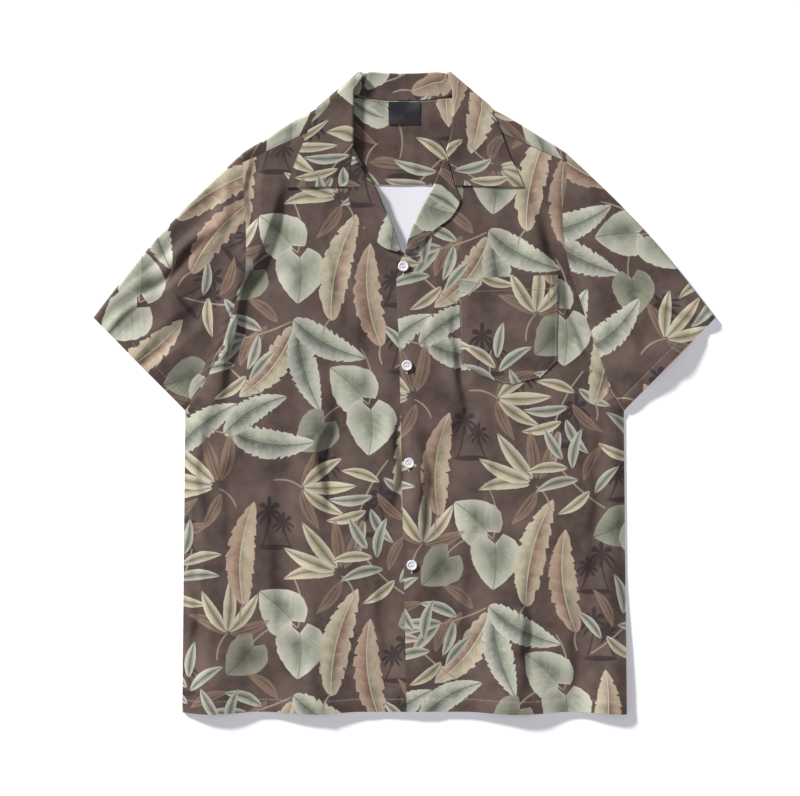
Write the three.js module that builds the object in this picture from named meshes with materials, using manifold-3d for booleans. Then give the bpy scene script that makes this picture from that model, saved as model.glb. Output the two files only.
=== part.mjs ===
// A short-sleeved camp-collar shirt, buttoned and laid flat on its back.
// Millimetres. +X is the viewer's right (the wearer's left), +Y points to the collar and +Z up.
// The origin is the middle of the shirt's outline, on the surface that it lies on.
// Every piece of cloth is a wall: the back lies on the surface, and the fronts lie on the back.
import * as THREE from "three";
import { mergeVertices } from "three/addons/utils/BufferGeometryUtils.js";
import Module from "manifold-3d";

const { lerp, clamp, smoothstep, degToRad } = THREE.MathUtils;

// Cloth
const CLOTH = 1.2; // wall of one cloth layer
const DOUBLE = 1.5; // wall of two cloths sewn together: collar and revers
const SEAM = 0.4; // gap between pieces that meet at a seam
const LAY = 0.5; // gap between a piece and the panel that it lies on
const TURNED = 0.4; // extra thickness of a turned hem
const HEM = 15; // depth of the bottom and cuff hems
const POCKET_HEM = 16;

// Body outline
const HEM_Y = -382.1;
const HEM_DROP = 0.5; // share of a wave's height by which the hem edge moves down in plan
const HEM_HALF = 266.5;
const CHEST_HALF = 263;
const UNDERARM_Y = -21;
const YOKE_Y = 249.6; // straight back yoke seam
const SHOULDER = { x: 194, y: 288 }; // where the armhole seam meets the shoulder fold
const UNDER_EDGE_X = 24.6; // hidden edge of the under front
const SLEEVE_TIP = { x: 373, y: 90.5 };

// Heights between the layers
const LOFT = 1.5; // air that keeps the front off the back
const LINING_RISE = 1.7; // the front rises over the yoke lining
const FALL_RISE = 1.8; // the yoke rises over the collar's fall behind the neck
const OVERLAP_RISE = 2.0; // the upper front rises over the under front
const ROLL_LIFT = 2.3; // the collar and revers stand off the chest at their roll
const ROLL_RADIUS = 1.4; // turn of the collar at its roll line

// Buttons, 20 line
const BUTTON = { radius: 6.3, height: 2.6, dish: 3.9, holeRadius: 0.8, holeOffset: 1.35 };

// A table is a list of rows, and each row gets the names of its columns.
const table = (columns, rows) => {
  const names = columns.split(" ");
  return rows.map((row) => Object.fromEntries(names.map((name, i) => [name, row[i]])));
};

// Folds of the front layer: centre, turn from +Y (positive leans right), half length, half width,
// height (negative for a trough).
const FOLDS = table("x y turn length width height", [
  [-89, -70, 0, 120, 24, -1.2],
  [-66, -150, 2, 230, 32, 1.3],
  [-160, -270, -3, 170, 40, 1.1],
  [-205, -180, 4, 190, 34, -0.9],
  [31, -127, 3, 110, 24, -1.2],
  [62, -60, -6, 170, 30, 1.0],
  [100, -200, 5, 200, 34, 1.2],
  [143, -300, 0, 120, 28, -1.3],
  [205, -190, -4, 220, 40, 1.2],
  [-252, -300, 0, 80, 20, -0.8],
  [-172, 140, 4, 150, 26, -1.2],
  [-140, 60, 12, 170, 34, 1.2],
  [-226, 40, 24, 120, 24, -1.0],
  [203, 118, -20, 130, 24, -1.2],
  [232, 10, -32, 90, 26, 1.0],
  [-285, 135, 45, 150, 34, 1.4],
  [-262, 85, 40, 130, 28, -1.1],
  [-318, 62, 50, 90, 26, 1.0],
  [285, 135, -45, 150, 34, 1.4],
  [262, 80, -38, 130, 28, -1.1],
  [322, 66, -52, 90, 26, 1.0],
]);

// Where both layers stand off the surface: waves of the hem and the lifted cuffs.
const WAVES = table("x y turn length width height", [
  [-231, -384, 0, 170, 52, 6.5],
  [-109, -384, 0, 200, 58, 6.0],
  [136, -384, 0, 210, 62, 7.0],
  [262, -384, 0, 180, 56, 6.5],
  [-318, 30, 45, 120, 46, 6.0],
  [322, 30, -45, 130, 60, 7.5],
]);

// Armhole seam from the underarm to the shoulder, the same under the sleeve's front and back.
const ARMHOLE_RIGHT_SIDE = table("x y", [
  [-244, 5], [-232, 28], [-220, 52], [-212, 78], [-204, 104], [-196, 126], [-190.5, 142],
  [-190, 165], [-190.2, 190], [-191.4, 220], [-193.5, YOKE_Y], [-195.5, 268], [-SHOULDER.x, SHOULDER.y],
]);
const ARMHOLE_LEFT_SIDE = table("x y", [
  [247, 4], [240, 28], [231, 52], [222, 78], [213, 104], [206, 126], [200, 142],
  [195, 165], [190.5, 192], [189.2, 220], [193.5, YOKE_Y], [195.5, 268], [SHOULDER.x, SHOULDER.y],
]);

// Visible roll line from the shoulder end of the collar down to the foot of the V.
const ROLL_RIGHT_SIDE = table("x y", [
  [-54.6, 386], [-60, 377], [-60.6, 340], [-60.6, 297], [-57, 281], [-46, 262], [-34, 246],
  [-23.4, 222], [-12.6, 199], [-4, 172],
]);
const ROLL_LEFT_SIDE = table("x y", [
  [54.6, 386], [57.5, 377], [57, 340], [55, 313], [50, 290], [42.5, 268], [34, 248],
  [23.4, 228], [10, 201], [0, 168],
]);

// Collar stations of one side: roll line, free edge, neck seam, and how much of the turn at the
// roll is there, from 0 along the gorge seam to 1 beside the neck.
const COLLAR_RIGHT_SIDE = table("rollX rollY edgeX edgeY neckX neckY turned", [
  [-68.2, 248, -142, 246.3, 0, 0, 0],
  [-66.4, 262, -136, 263, 0, 0, 0],
  [-64, 280, -129, 282, 0, 0, 0],
  [-60.8, 297, -122.4, 297.5, 0, 0, 0.5],
  [-60.7, 303.5, -120.8, 301.6, -63.4, 302.5, 1],
  [-60.6, 318, -118, 308.5, -66, 316, 1],
  [-60.6, 340, -113.6, 319.5, -69.6, 336, 1],
  [-60.4, 362, -109.8, 328.5, -71, 350, 1],
]);
const COLLAR_LEFT_SIDE = table("rollX rollY edgeX edgeY neckX neckY turned", [
  [60.8, 249, 143, 247, 0, 0, 0],
  [57.5, 263, 136, 264, 0, 0, 0],
  [53.5, 278, 127, 282, 0, 0, 0],
  [49.6, 291, 121, 297.5, 0, 0, 0.5],
  [50.4, 294.5, 120.6, 299, 0, 0, 0.75],
  [51.4, 297.2, 120.1, 300.4, 53.8, 297.2, 1],
  [53.8, 305.5, 119.2, 303, 59, 304.4, 1],
  [56.4, 318, 117.2, 308, 63.2, 315, 1],
  [57, 340, 113, 319, 68, 336, 1],
  [57.2, 362, 109.4, 328, 70.5, 350, 1],
]);
const COLLAR_SHOULDER = { rollX: 54.6, rollY: 386, edgeX: 102.2, edgeY: 345.4, neckX: 69.5, neckY: 363 };
const COLLAR_BACK = table("x rollY edgeY neckY", [
  [-38, 385.2, 337, 353],
  [-24, 384.2, 335, 351.2],
  [-9, 383.6, 333.8, 350.6],
  [9, 383.6, 333.8, 350.6],
  [24, 384.2, 335, 351.2],
  [38, 385.2, 337, 353],
]);
const COLLAR_TURN_STEPS = 6; // steps in which the fall turns from the chest to behind the neck
const FREE_EDGE_BEFORE = 9; // how far the free edge runs past the turn on the chest side
const FREE_EDGE_BEHIND = 4.3; // and how far it draws back behind the neck

// The forward shoulder seam is straight in plan, and this is its yoke side.
const FORWARD_SEAM = { outerX: 193.8, outerY: 277, innerX: 70.5, innerY: 333 };
const forwardSeamY = (x) => {
  const { outerX, outerY, innerX, innerY } = FORWARD_SEAM;
  return outerY + ((outerX - x) * (innerY - outerY)) / (outerX - innerX) + SEAM / 2;
};

// Outer yoke columns from the armhole to the centre back: foot on the back seam, shoulder fold,
// end on the forward seam or the neck seam, and how far the column turns over the fold.
const YOKE_COLUMNS = table("footX foldX foldY endX endY over", [
  [-193.1, -192.5, 288.6, -193.2, forwardSeamY(193.2), 1],
  [-178, -178, 298, -178, forwardSeamY(178), 1],
  [-160, -160, 309, -160, forwardSeamY(160), 1],
  [-140, -140, 321.5, -140, forwardSeamY(140), 1],
  [-120, -120, 333, -120, forwardSeamY(120), 1],
  [-102, -105, 341, -103, forwardSeamY(103), 1],
  [-90, -94, 347.6, -88, forwardSeamY(88), 1],
  [-80, -85.5, 352.7, -78, forwardSeamY(78), 1],
  [-72, -81, 355.4, -71.4, forwardSeamY(71.4), 1],
  [-66, -78.6, 356.8, -73, 345, 1],
  [-61, -76.2, 358.2, -74, 353, 1],
  [-58, -73.4, 359.9, -73.4, 359.9, 0.75],
  [-55, -70.2, 361.4, -70.2, 361.4, 0.4],
  [-52, -59, 356.6, -59, 356.6, 0],
  [-36, -38, 352, -38, 352, 0],
  [-18, -18, 350.3, -18, 350.3, 0],
  [0, 0, 350, 0, 350, 0],
]);

// Revers stations from the foot of the V up to the gorge: visible roll line and outer edge.
const REVERS_RIGHT_SIDE = table("rollX rollY edgeX edgeY", [
  [-4, 172, -10, 169.5],
  [-9, 188, -22, 173],
  [-14.5, 203, -38, 186],
  [-23.4, 222, -56, 211],
  [-34, 246, -66.6, 232],
  [-46, 262, -67.6, 246.6],
  [-57, 281, -63.4, 279],
  [-57.9, 285.5, -62.3, 285],
]);
const REVERS_LEFT_SIDE = table("rollX rollY edgeX edgeY", [
  [0, 168, 6, 166.5],
  [5, 187, 21, 181.5],
  [12, 205, 37, 196.5],
  [23.4, 228, 57, 212],
  [34, 248, 66.6, 232],
  [38, 258, 60.2, 247.6],
  [42.5, 268, 55.2, 266],
  [46.2, 279, 50, 281],
]);

// Pocket rows from the pointed foot to the mouth.
const POCKET_ROWS = table("leftX leftY rightX rightY", [
  [118, 11, 130, 10.4],
  [91.8, 21.6, 162.6, 18.5],
  [68.5, 34.8, 183, 37.2],
  [67.5, 60, 183.2, 62],
  [66.4, 90, 183.4, 93],
  [65.4, 136.8 - POCKET_HEM, 183.6, 141.6 - POCKET_HEM],
  [65.3, 138 - POCKET_HEM, 183.6, 142.8 - POCKET_HEM],
  [64.8, 136.8, 183.7, 141.6],
]);

const BUTTONS = table("x y", [[-1.3, 151.8], [3, 32.9], [5.4, -84], [8.9, -206.4]]);
const LABEL = { left: -19.2, right: 18.6, top: 349.2, foot: 321.8, wall: 1.0 };

// Rows of the body from the hem up to the underarm, the same on fronts and back.
const BODY_ROWS = [
  HEM_Y, HEM_Y + HEM - 1, HEM_Y + HEM + 1, -345, -320, -290, -260, -230, -200, -170, -140, -110, -80, -50,
  UNDERARM_Y,
];

// Columns as shares of a panel's width.
const UNDER_FRONT_COLUMNS = [0, 0.025, 0.06, 0.13, 0.21, 0.3, 0.38, 0.46, 0.54, 0.62, 0.7, 0.78, 0.87, 1];
const UPPER_FRONT_COLUMNS = [
  0, 0.06, 0.12, 0.18, 0.25, 0.33, 0.41, 0.49, 0.57, 0.65, 0.73, 0.81, 0.88, 0.94, 0.975, 1,
];
const BACK_COLUMNS = [
  0, 0.013, 0.033, 0.071, 0.115, 0.163, 0.208, 0.251, 0.294, 0.338, 0.383, 0.46, 0.546, 0.629, 0.708, 0.748,
  0.787, 0.827, 0.867, 0.907, 0.941, 0.971, 0.988, 1,
];
const PLAIN_ROWS = [-140, -110, -80, -50]; // rows that the flat part of the back can do without

// Sleeve rows: how much of the cuff's hem is passed, then the share of the way on to the armhole.
const SLEEVE_ROWS = table("hem beyond", [
  [0, 0], [0.94, 0], [1.06, 0], [1.06, 0.13], [1.06, 0.27], [1.06, 0.41], [1.06, 0.55], [1.06, 0.68],
  [1.06, 0.8], [1.06, 0.9], [1.06, 1],
]);
const FOLD_STEPS = 4; // flat faces in the half turn of a folded edge

// A hill of height 1 at a row's centre that is exactly flat outside its half length and width.
function hill(x, y, row) {
  const turn = degToRad(row.turn);
  const along = (x - row.x) * Math.sin(turn) + (y - row.y) * Math.cos(turn);
  const across = (x - row.x) * Math.cos(turn) - (y - row.y) * Math.sin(turn);
  const reach = (along / row.length) ** 2 + (across / row.width) ** 2;
  return reach < 1 ? (1 - reach) ** 2 : 0;
}
const relief = (x, y, rows) => rows.reduce((sum, row) => sum + row.height * hill(x, y, row), 0);

// Height of the back layer's underside.
const floorLift = (x, y) => relief(x, y, WAVES);

// Extra height of the yoke where the collar's fall lies under it.
const fallRise = (x, y) => FALL_RISE * smoothstep(y, 285, 328) * (1 - smoothstep(Math.abs(x), 110, 152));

// The hem edge moves down a little in plan where a wave lifts it.
const hemDrop = (x) => HEM_DROP * relief(x, HEM_Y, WAVES);
const sagged = (grid) => grid.map((row) => row.map((p) => (
  new THREE.Vector2(p.x, p.y - hemDrop(p.x) * (1 - smoothstep(p.y, HEM_Y, HEM_Y + 140)))
)));
const turnedHem = (x, y) => (y < HEM_Y + HEM - hemDrop(x) ? CLOTH + TURNED : CLOTH);

const sideHalf = (y) => lerp(HEM_HALF, CHEST_HALF, clamp((y - HEM_Y) / (UNDERARM_Y - HEM_Y), 0, 1));

// Height of the front layer's underside. It comes down to the back along the side seams.
function frontHeight(x, y) {
  const inside = sideHalf(y) - Math.abs(x);
  const seamed = y < UNDERARM_Y + 14 ? smoothstep(inside, 0, 16) : 1;
  const released = smoothstep(y, UNDERARM_Y - 14, UNDERARM_Y + 14);
  const loft = (LOFT + relief(x, y, FOLDS)) * Math.max(seamed, released);
  const lining = LINING_RISE * smoothstep(y, 222, 250) * (1 - smoothstep(Math.abs(x), 196, 240));
  return floorLift(x, y) + turnedHem(x, y) + SEAM + Math.max(loft, 0.2) + lining + fallRise(x, y);
}

// The upper front also rises over the hidden edge of the under front.
function upperFrontHeight(x, y) {
  const over = 1 - smoothstep(x, UNDER_EDGE_X + 3, UNDER_EDGE_X + 24);
  return frontHeight(x, y) + OVERLAP_RISE * over * (1 - smoothstep(y, 168, 210));
}

const plan = (row) => new THREE.Vector2(row.x, row.y);
const at = (p, z) => new THREE.Vector3(p.x, p.y, z);

// Distance from a point to a line of points, all in plan.
function distanceToLine(p, line) {
  let nearest = Infinity;
  for (let i = 0; i + 1 < line.length; i++) {
    const along = line[i + 1].clone().sub(line[i]);
    const share = clamp(p.clone().sub(line[i]).dot(along) / along.lengthSq(), 0, 1);
    nearest = Math.min(nearest, p.distanceTo(line[i].clone().addScaledVector(along, share)));
  }
  return nearest;
}

// The point of a line at a height y, where the line runs one way in y.
function pointAtY(line, y) {
  const rising = line[line.length - 1].y > line[0].y;
  const points = rising ? line : [...line].reverse();
  const next = clamp(points.findIndex((p) => p.y >= y), 1, points.length - 1);
  const [a, b] = [points[next - 1], points[next]];
  return new THREE.Vector2(lerp(a.x, b.x, clamp((y - a.y) / (b.y - a.y), 0, 1)), y);
}

// A line of points moved sideways, to its left for a positive distance.
function offsetLine(points, distance) {
  return points.map((p, i) => {
    const next = points[Math.min(i + 1, points.length - 1)];
    const along = next.clone().sub(points[Math.max(i - 1, 0)]).normalize();
    return new THREE.Vector2(p.x - along.y * distance, p.y + along.x * distance);
  });
}

// A path of points cut into equal steps, where a turn of one radian counts as bendLength.
function resample(path, count, bendLength) {
  const clean = path.filter((p, i) => i === 0 || p.distanceTo(path[i - 1]) > 1e-4);
  const turns = clean.map((p, i) => {
    if (i === 0 || i === clean.length - 1) return 0;
    return p.clone().sub(clean[i - 1]).angleTo(clean[i + 1].clone().sub(p));
  });
  const reached = [0];
  for (let i = 1; i < clean.length; i++) {
    const bend = (bendLength * (turns[i - 1] + turns[i])) / 2;
    reached.push(reached[i - 1] + clean[i].distanceTo(clean[i - 1]) + bend);
  }
  const total = reached[reached.length - 1];
  return Array.from({ length: count }, (_, k) => {
    const goal = Math.min((total * k) / (count - 1), total);
    const next = clamp(reached.findIndex((r) => r >= goal), 1, clean.length - 1);
    const share = clamp((goal - reached[next - 1]) / (reached[next] - reached[next - 1]), 0, 1);
    return clean[next - 1].clone().lerp(clean[next], share);
  });
}

// Points of a turn in the plane of two directions, from one angle to another in degrees.
function arc(centre, across, up, radius, from, to, steps) {
  return Array.from({ length: steps + 1 }, (_, k) => {
    const angle = degToRad(lerp(from, to, k / steps));
    const p = centre.clone().addScaledVector(across, radius * Math.cos(angle));
    return p.addScaledVector(up, radius * Math.sin(angle));
  });
}

// A closed mesh between two grids of points. A ring's columns run all the way round.
function wallBetween(outer, inner, ring = false) {
  const rows = outer.length;
  const columns = outer[0].length;
  const positions = [...outer.flat(), ...inner.flat()].flatMap((p) => [p.x, p.y, p.z]);
  const indices = [];
  const outside = (r, c) => r * columns + (c % columns);
  const inside = (r, c) => rows * columns + outside(r, c);
  const quad = (a, b, c, d) => indices.push(a, b, c, a, c, d);
  const spans = ring ? columns : columns - 1;
  for (let r = 0; r + 1 < rows; r++) {
    for (let c = 0; c < spans; c++) {
      quad(outside(r, c), outside(r, c + 1), outside(r + 1, c + 1), outside(r + 1, c));
      quad(inside(r, c), inside(r + 1, c), inside(r + 1, c + 1), inside(r, c + 1));
    }
  }
  for (let c = 0; c < spans; c++) {
    quad(outside(0, c), inside(0, c), inside(0, c + 1), outside(0, c + 1));
    quad(outside(rows - 1, c), outside(rows - 1, c + 1), inside(rows - 1, c + 1), inside(rows - 1, c));
  }
  const last = columns - 1;
  for (let r = 0; !ring && r + 1 < rows; r++) {
    quad(outside(r, 0), outside(r + 1, 0), inside(r + 1, 0), inside(r, 0));
    quad(outside(r, last), inside(r, last), inside(r + 1, last), outside(r + 1, last));
  }
  return facingOut(positions, indices);
}

// A geometry whose faces are turned round if its volume comes out negative.
function facingOut(positions, indices) {
  const corner = (i) => new THREE.Vector3().fromArray(positions, 3 * i);
  let volume = 0;
  for (let i = 0; i < indices.length; i += 3) {
    volume += corner(indices[i]).dot(corner(indices[i + 1]).cross(corner(indices[i + 2])));
  }
  for (let i = 0; volume < 0 && i < indices.length; i += 3) {
    [indices[i + 1], indices[i + 2]] = [indices[i + 2], indices[i + 1]];
  }
  const geometry = new THREE.BufferGeometry();
  geometry.setAttribute("position", new THREE.Float32BufferAttribute(positions, 3));
  geometry.setIndex(indices);
  geometry.computeVertexNormals();
  return geometry;
}

// A panel: a grid of plan points with a height for its underside and a thickness.
function panel(grid, underside, thickness = () => CLOTH) {
  const lower = grid.map((row) => row.map((p) => at(p, underside(p.x, p.y))));
  const upper = lower.map((row) => row.map((p) => new THREE.Vector3(p.x, p.y, p.z + thickness(p.x, p.y))));
  return wallBetween(upper, lower);
}

// A wall of even thickness about a grid of middle points, offset both ways along their normals.
function wallAbout(middle, thickness, ring = false) {
  const rows = middle.length;
  const columns = middle[0].length;
  const pick = (r, c) => {
    const column = ring ? (c + columns) % columns : clamp(c, 0, columns - 1);
    return middle[clamp(r, 0, rows - 1)][column];
  };
  const normals = middle.map((row, r) => row.map((_, c) => {
    const down = pick(r + 1, c).clone().sub(pick(r - 1, c));
    const across = pick(r, c + 1).clone().sub(pick(r, c - 1));
    return down.cross(across).normalize();
  }));
  const offset = (side) => middle.map((row, r) => row.map((p, c) => (
    p.clone().addScaledVector(normals[r][c], (side * thickness(r, c)) / 2)
  )));
  return wallBetween(offset(1), offset(-1), ring);
}

// Straight rows between two edges, divided at the given shares.
function ruled(left, right, shares) {
  return left.map((p, i) => shares.map((share) => p.clone().lerp(right[i], share)));
}

// Side seam and armhole of one side of the body, from the hem to the shoulder.
function bodyEdge(armhole, side) {
  const seam = BODY_ROWS.map((y) => new THREE.Vector2(side * sideHalf(y), y));
  return [...seam, ...offsetLine(armhole.map(plan), (side * SEAM) / 2)];
}
const EDGE_RIGHT_SIDE = bodyEdge(ARMHOLE_RIGHT_SIDE, -1);
const EDGE_LEFT_SIDE = bodyEdge(ARMHOLE_LEFT_SIDE, 1);

// The back panel runs from the hem to the straight yoke seam.
function backPanel() {
  const upTo = (edge) => edge
    .filter((p) => p.y < YOKE_Y + 1 && !PLAIN_ROWS.includes(p.y))
    .map((p) => new THREE.Vector2(p.x, Math.min(p.y, YOKE_Y - SEAM / 2)));
  const grid = ruled(upTo(EDGE_RIGHT_SIDE), upTo(EDGE_LEFT_SIDE), BACK_COLUMNS);
  return panel(sagged(grid), floorLift, turnedHem);
}

// Centre edge of a front: the free edge up to the foot of the V, then just inside the revers' roll.
function centreEdge(outer, freeEdge, roll, stations, side) {
  const behindRoll = 7;
  const gorgeTop = stations.find((row) => row.turned > 0);
  const [, ...besideNeck] = stations.filter((row) => row.turned === 1 && row.neckY < FORWARD_SEAM.innerY);
  const lowerRoll = roll.filter((row) => row.y < gorgeTop.rollY).reverse().map(plan);
  const inset = offsetLine(lowerRoll, -side * behindRoll);
  const neck = besideNeck.map((row) => new THREE.Vector2(row.neckX + side * 1.4, row.neckY));
  const corner = new THREE.Vector2(side * (FORWARD_SEAM.innerX + SEAM), FORWARD_SEAM.innerY - SEAM);
  const line = [...freeEdge.map(plan), ...inset, ...neck, corner];
  const split = 126;
  const top = outer[outer.length - 1].y;
  return outer.map((p) => {
    const y = p.y < split ? p.y : split + ((p.y - split) * (corner.y - split)) / (top - split);
    return pointAtY(line, y);
  });
}

function frontPanel({ edge, freeEdge, roll, stations, side, columns, underside }) {
  const outer = edge.map((p) => p.clone());
  outer[outer.length - 1].set(side * (FORWARD_SEAM.outerX - SEAM), FORWARD_SEAM.outerY - SEAM);
  outer[outer.length - 2].y = FORWARD_SEAM.outerY - 8;
  const centre = centreEdge(outer, freeEdge, roll, stations, side);
  const grid = side < 0 ? ruled(outer, centre, columns) : ruled(centre, outer, columns);
  return panel(sagged(grid), underside, turnedHem);
}

// The outer yoke lies under the garment and turns over the shoulder folds to the forward seams.
function yokeOuter() {
  const mirrored = YOKE_COLUMNS.slice(0, -1).reverse().map((row) => (
    { ...row, footX: -row.footX, foldX: -row.foldX, endX: -row.endX }
  ));
  const middle = (p) => at(p, floorLift(p.x, p.y) + fallRise(p.x, p.y) + CLOTH / 2);
  const top = (p) => at(p, frontHeight(p.x, p.y) + CLOTH / 2);
  const grid = [...YOKE_COLUMNS, ...mirrored].map((row) => {
    const foot = new THREE.Vector2(row.footX, YOKE_Y + SEAM / 2);
    const fold = new THREE.Vector2(row.foldX, row.foldY);
    const end = new THREE.Vector2(row.endX, row.endY);
    const inward = foot.clone().sub(fold).normalize();
    const radius = (top(fold).z - middle(fold).z) / 2;
    const turnAt = row.over > 0 ? fold.clone().addScaledVector(inward, radius + CLOTH / 2) : fold;
    const path = [0, 0.2, 0.4, 0.6, 0.8, 1].map((share) => middle(foot.clone().lerp(turnAt, share)));
    if (row.over > 0) {
      const centre = at(turnAt, middle(turnAt).z + radius);
      const outward = new THREE.Vector3(-inward.x, -inward.y, 0);
      const up = new THREE.Vector3(0, 0, 1);
      path.push(...arc(centre, outward, up, radius, -90, -90 + 180 * row.over, 8));
    }
    if (row.over === 1) {
      const start = path[path.length - 1];
      const flat = new THREE.Vector2(start.x, start.y);
      for (const share of [0.35, 0.7, 1]) {
        const p = flat.clone().lerp(end, share);
        const settled = top(p);
        settled.z = lerp(start.z, settled.z, share);
        path.push(settled);
      }
    }
    return resample(path, 15, 7);
  });
  return wallAbout(grid, () => CLOTH);
}

// The yoke lining lies on the outer yoke, just inside the shoulder folds.
function yokeLining() {
  const half = YOKE_COLUMNS.filter((row) => row.over === 0 || row.endY < 340);
  const columns = [...half, ...half.slice(0, -1).reverse().map((row) => (
    { ...row, footX: -row.footX, foldX: -row.foldX }
  ))];
  const insideFold = 9;
  const besideCollar = 3.2;
  const grid = columns.map((row) => {
    const foot = new THREE.Vector2(row.footX, YOKE_Y + SEAM / 2);
    const fold = new THREE.Vector2(row.foldX, row.foldY);
    const inward = foot.clone().sub(fold).normalize();
    const clear = row.over === 1 ? insideFold : besideCollar * (Math.abs(row.foldX) > 50 ? 1 : 0);
    const end = fold.addScaledVector(inward, clear);
    return [0, 0.2, 0.4, 0.55, 0.7, 0.85, 1].map((share) => foot.clone().lerp(end, share));
  });
  return panel(grid, liningHeight);
}
const liningHeight = (x, y) => fallRise(x, y) + CLOTH + 2 * SEAM;

// Height of the collar's and the revers' middle over the chest, higher near the roll line.
const COLLAR_ROLLS = [ROLL_RIGHT_SIDE.map(plan), ROLL_LEFT_SIDE.map(plan)];
function reversHeight(p, overlap = false) {
  const nearRoll = Math.min(...COLLAR_ROLLS.map((line) => distanceToLine(p, line)));
  const chest = overlap ? upperFrontHeight(p.x, p.y) : frontHeight(p.x, p.y);
  return chest + CLOTH + LAY + DOUBLE / 2 + ROLL_LIFT * Math.exp(-((nearRoll / 18) ** 2));
}

// A revers: it rises out of the neck edge, turns over the roll line and lies on the chest.
function revers(stations, overlap) {
  const grid = stations.map((row, i) => {
    const roll = new THREE.Vector2(row.rollX, row.rollY);
    const edge = new THREE.Vector2(row.edgeX, row.edgeY);
    const out = edge.clone().sub(roll);
    const width = out.length();
    out.normalize();
    const turn = Math.min(1.4, width / 4);
    const start = roll.clone().addScaledVector(out, DOUBLE / 2);
    const flat = start.clone().addScaledVector(out, turn);
    const top = reversHeight(flat, overlap);
    const base = (overlap ? upperFrontHeight : frontHeight)(start.x, start.y) + CLOTH * 0.6;
    const across = new THREE.Vector3(-out.x, -out.y, 0);
    const up = new THREE.Vector3(0, 0, 1);
    const path = [at(start, Math.min(base, top - turn - 0.2))];
    path.push(...arc(at(flat, top - turn), across, up, turn, 0, 90, 4));
    for (const share of [0.3, 0.6, 0.8, 1]) {
      const p = flat.clone().lerp(edge, share);
      path.push(at(p, reversHeight(p, overlap)));
    }
    return resample(path, 8, 3);
  });
  return wallAbout(grid, () => DOUBLE);
}

// One section of the collar: neck seam, stand, turn at the roll line, fall, free edge.
// normal points out of the garment: up on the chest, down behind the neck.
function collarSection({ roll, edge, neck, turned, normal, standAt, fallAt }) {
  const out = edge.clone().sub(roll).normalize();
  const across = new THREE.Vector3(-out.x, -out.y, 0);
  const foldAt = roll.clone().addScaledVector(out, DOUBLE / 2 + ROLL_RADIUS);
  const fallStart = fallAt(foldAt, 0);
  const centre = fallStart.clone().addScaledVector(normal, -ROLL_RADIUS);
  const path = [];
  if (turned === 1) {
    const standEnd = centre.clone().addScaledVector(normal, -ROLL_RADIUS);
    for (const share of [0, 0.5]) path.push(standAt(neck, standEnd, share));
    path.push(...arc(centre, across, normal, ROLL_RADIUS, -90, 90, 8));
  } else if (turned > 0) {
    path.push(...arc(centre, across, normal, ROLL_RADIUS, 90 - 180 * turned, 90, 4));
  } else {
    path.push(fallAt(roll, 0));
  }
  for (const share of [0.12, 0.25, 0.4, 0.6, 0.8, 1]) {
    path.push(fallAt(foldAt.clone().lerp(edge, share), share));
  }
  return resample(path, 13, 5);
}

const UP = new THREE.Vector3(0, 0, 1);
const BACK_FALL_Z = DOUBLE / 2;
const BACK_STAND_Z = FALL_RISE + CLOTH + SEAM; // beside the edges of the yoke and its lining

function chestSection(row) {
  const neck = new THREE.Vector2(row.neckX, row.neckY);
  return collarSection({
    roll: new THREE.Vector2(row.rollX, row.rollY),
    edge: new THREE.Vector2(row.edgeX, row.edgeY),
    neck,
    turned: row.turned,
    normal: UP,
    standAt: (p, end, share) => at(p, frontHeight(p.x, p.y) + CLOTH / 2).lerp(end, share),
    fallAt: (p) => at(p, reversHeight(p)),
  });
}

// At the shoulder the fall turns about its fold from the chest to behind the neck.
function shoulderSection(side, angle) {
  const place = COLLAR_SHOULDER;
  const roll = new THREE.Vector2(side * place.rollX, place.rollY);
  const edge = new THREE.Vector2(side * place.edgeX, place.edgeY);
  const neck = new THREE.Vector2(side * place.neckX, place.neckY);
  const out = edge.clone().sub(roll).normalize();
  const outward = new THREE.Vector2(-out.y, out.x).multiplyScalar(side < 0 ? -1 : 1);
  const turn = degToRad(angle);
  edge.addScaledVector(out, Math.sin(turn) * (angle > 0 ? FREE_EDGE_BEFORE : FREE_EDGE_BEHIND));
  const normal = new THREE.Vector3(outward.x * Math.cos(turn), outward.y * Math.cos(turn), Math.sin(turn));
  const fallAt = (p) => {
    const middle = (reversHeight(p) + BACK_FALL_Z) / 2;
    const radius = (reversHeight(p) - BACK_FALL_Z) / 2;
    const axis = p.clone().addScaledVector(outward, -(radius + DOUBLE / 2));
    return at(axis, middle).addScaledVector(normal, radius);
  };
  const standAt = (p, end, share) => {
    const front = frontHeight(p.x, p.y) + CLOTH / 2;
    const middle = (front + BACK_STAND_Z) / 2;
    const radius = (front - BACK_STAND_Z) / 2;
    const axis = p.clone().addScaledVector(outward, -radius);
    return at(axis, middle).addScaledVector(normal, radius).lerp(end, share);
  };
  return collarSection({ roll, edge, neck, turned: 1, normal, standAt, fallAt });
}

function backSection(row) {
  return collarSection({
    roll: new THREE.Vector2(row.x, row.rollY),
    edge: new THREE.Vector2(row.x, row.edgeY),
    neck: new THREE.Vector2(row.x, row.neckY + 0.5),
    turned: 1,
    normal: UP.clone().negate(),
    standAt: (p, end, share) => at(p, BACK_STAND_Z).lerp(end, share),
    fallAt: (p) => at(p, BACK_FALL_Z),
  });
}

function collar() {
  const angles = [];
  for (let k = 0; k <= COLLAR_TURN_STEPS; k++) angles.push(lerp(90, -90, k / COLLAR_TURN_STEPS));
  const grid = [
    ...COLLAR_RIGHT_SIDE.map(chestSection),
    ...angles.map((angle) => shoulderSection(-1, angle)),
    ...COLLAR_BACK.map(backSection),
    ...[...angles].reverse().map((angle) => shoulderSection(1, angle)),
    ...[...COLLAR_LEFT_SIDE].reverse().map(chestSection),
  ];
  return wallAbout(grid, () => DOUBLE);
}

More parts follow.
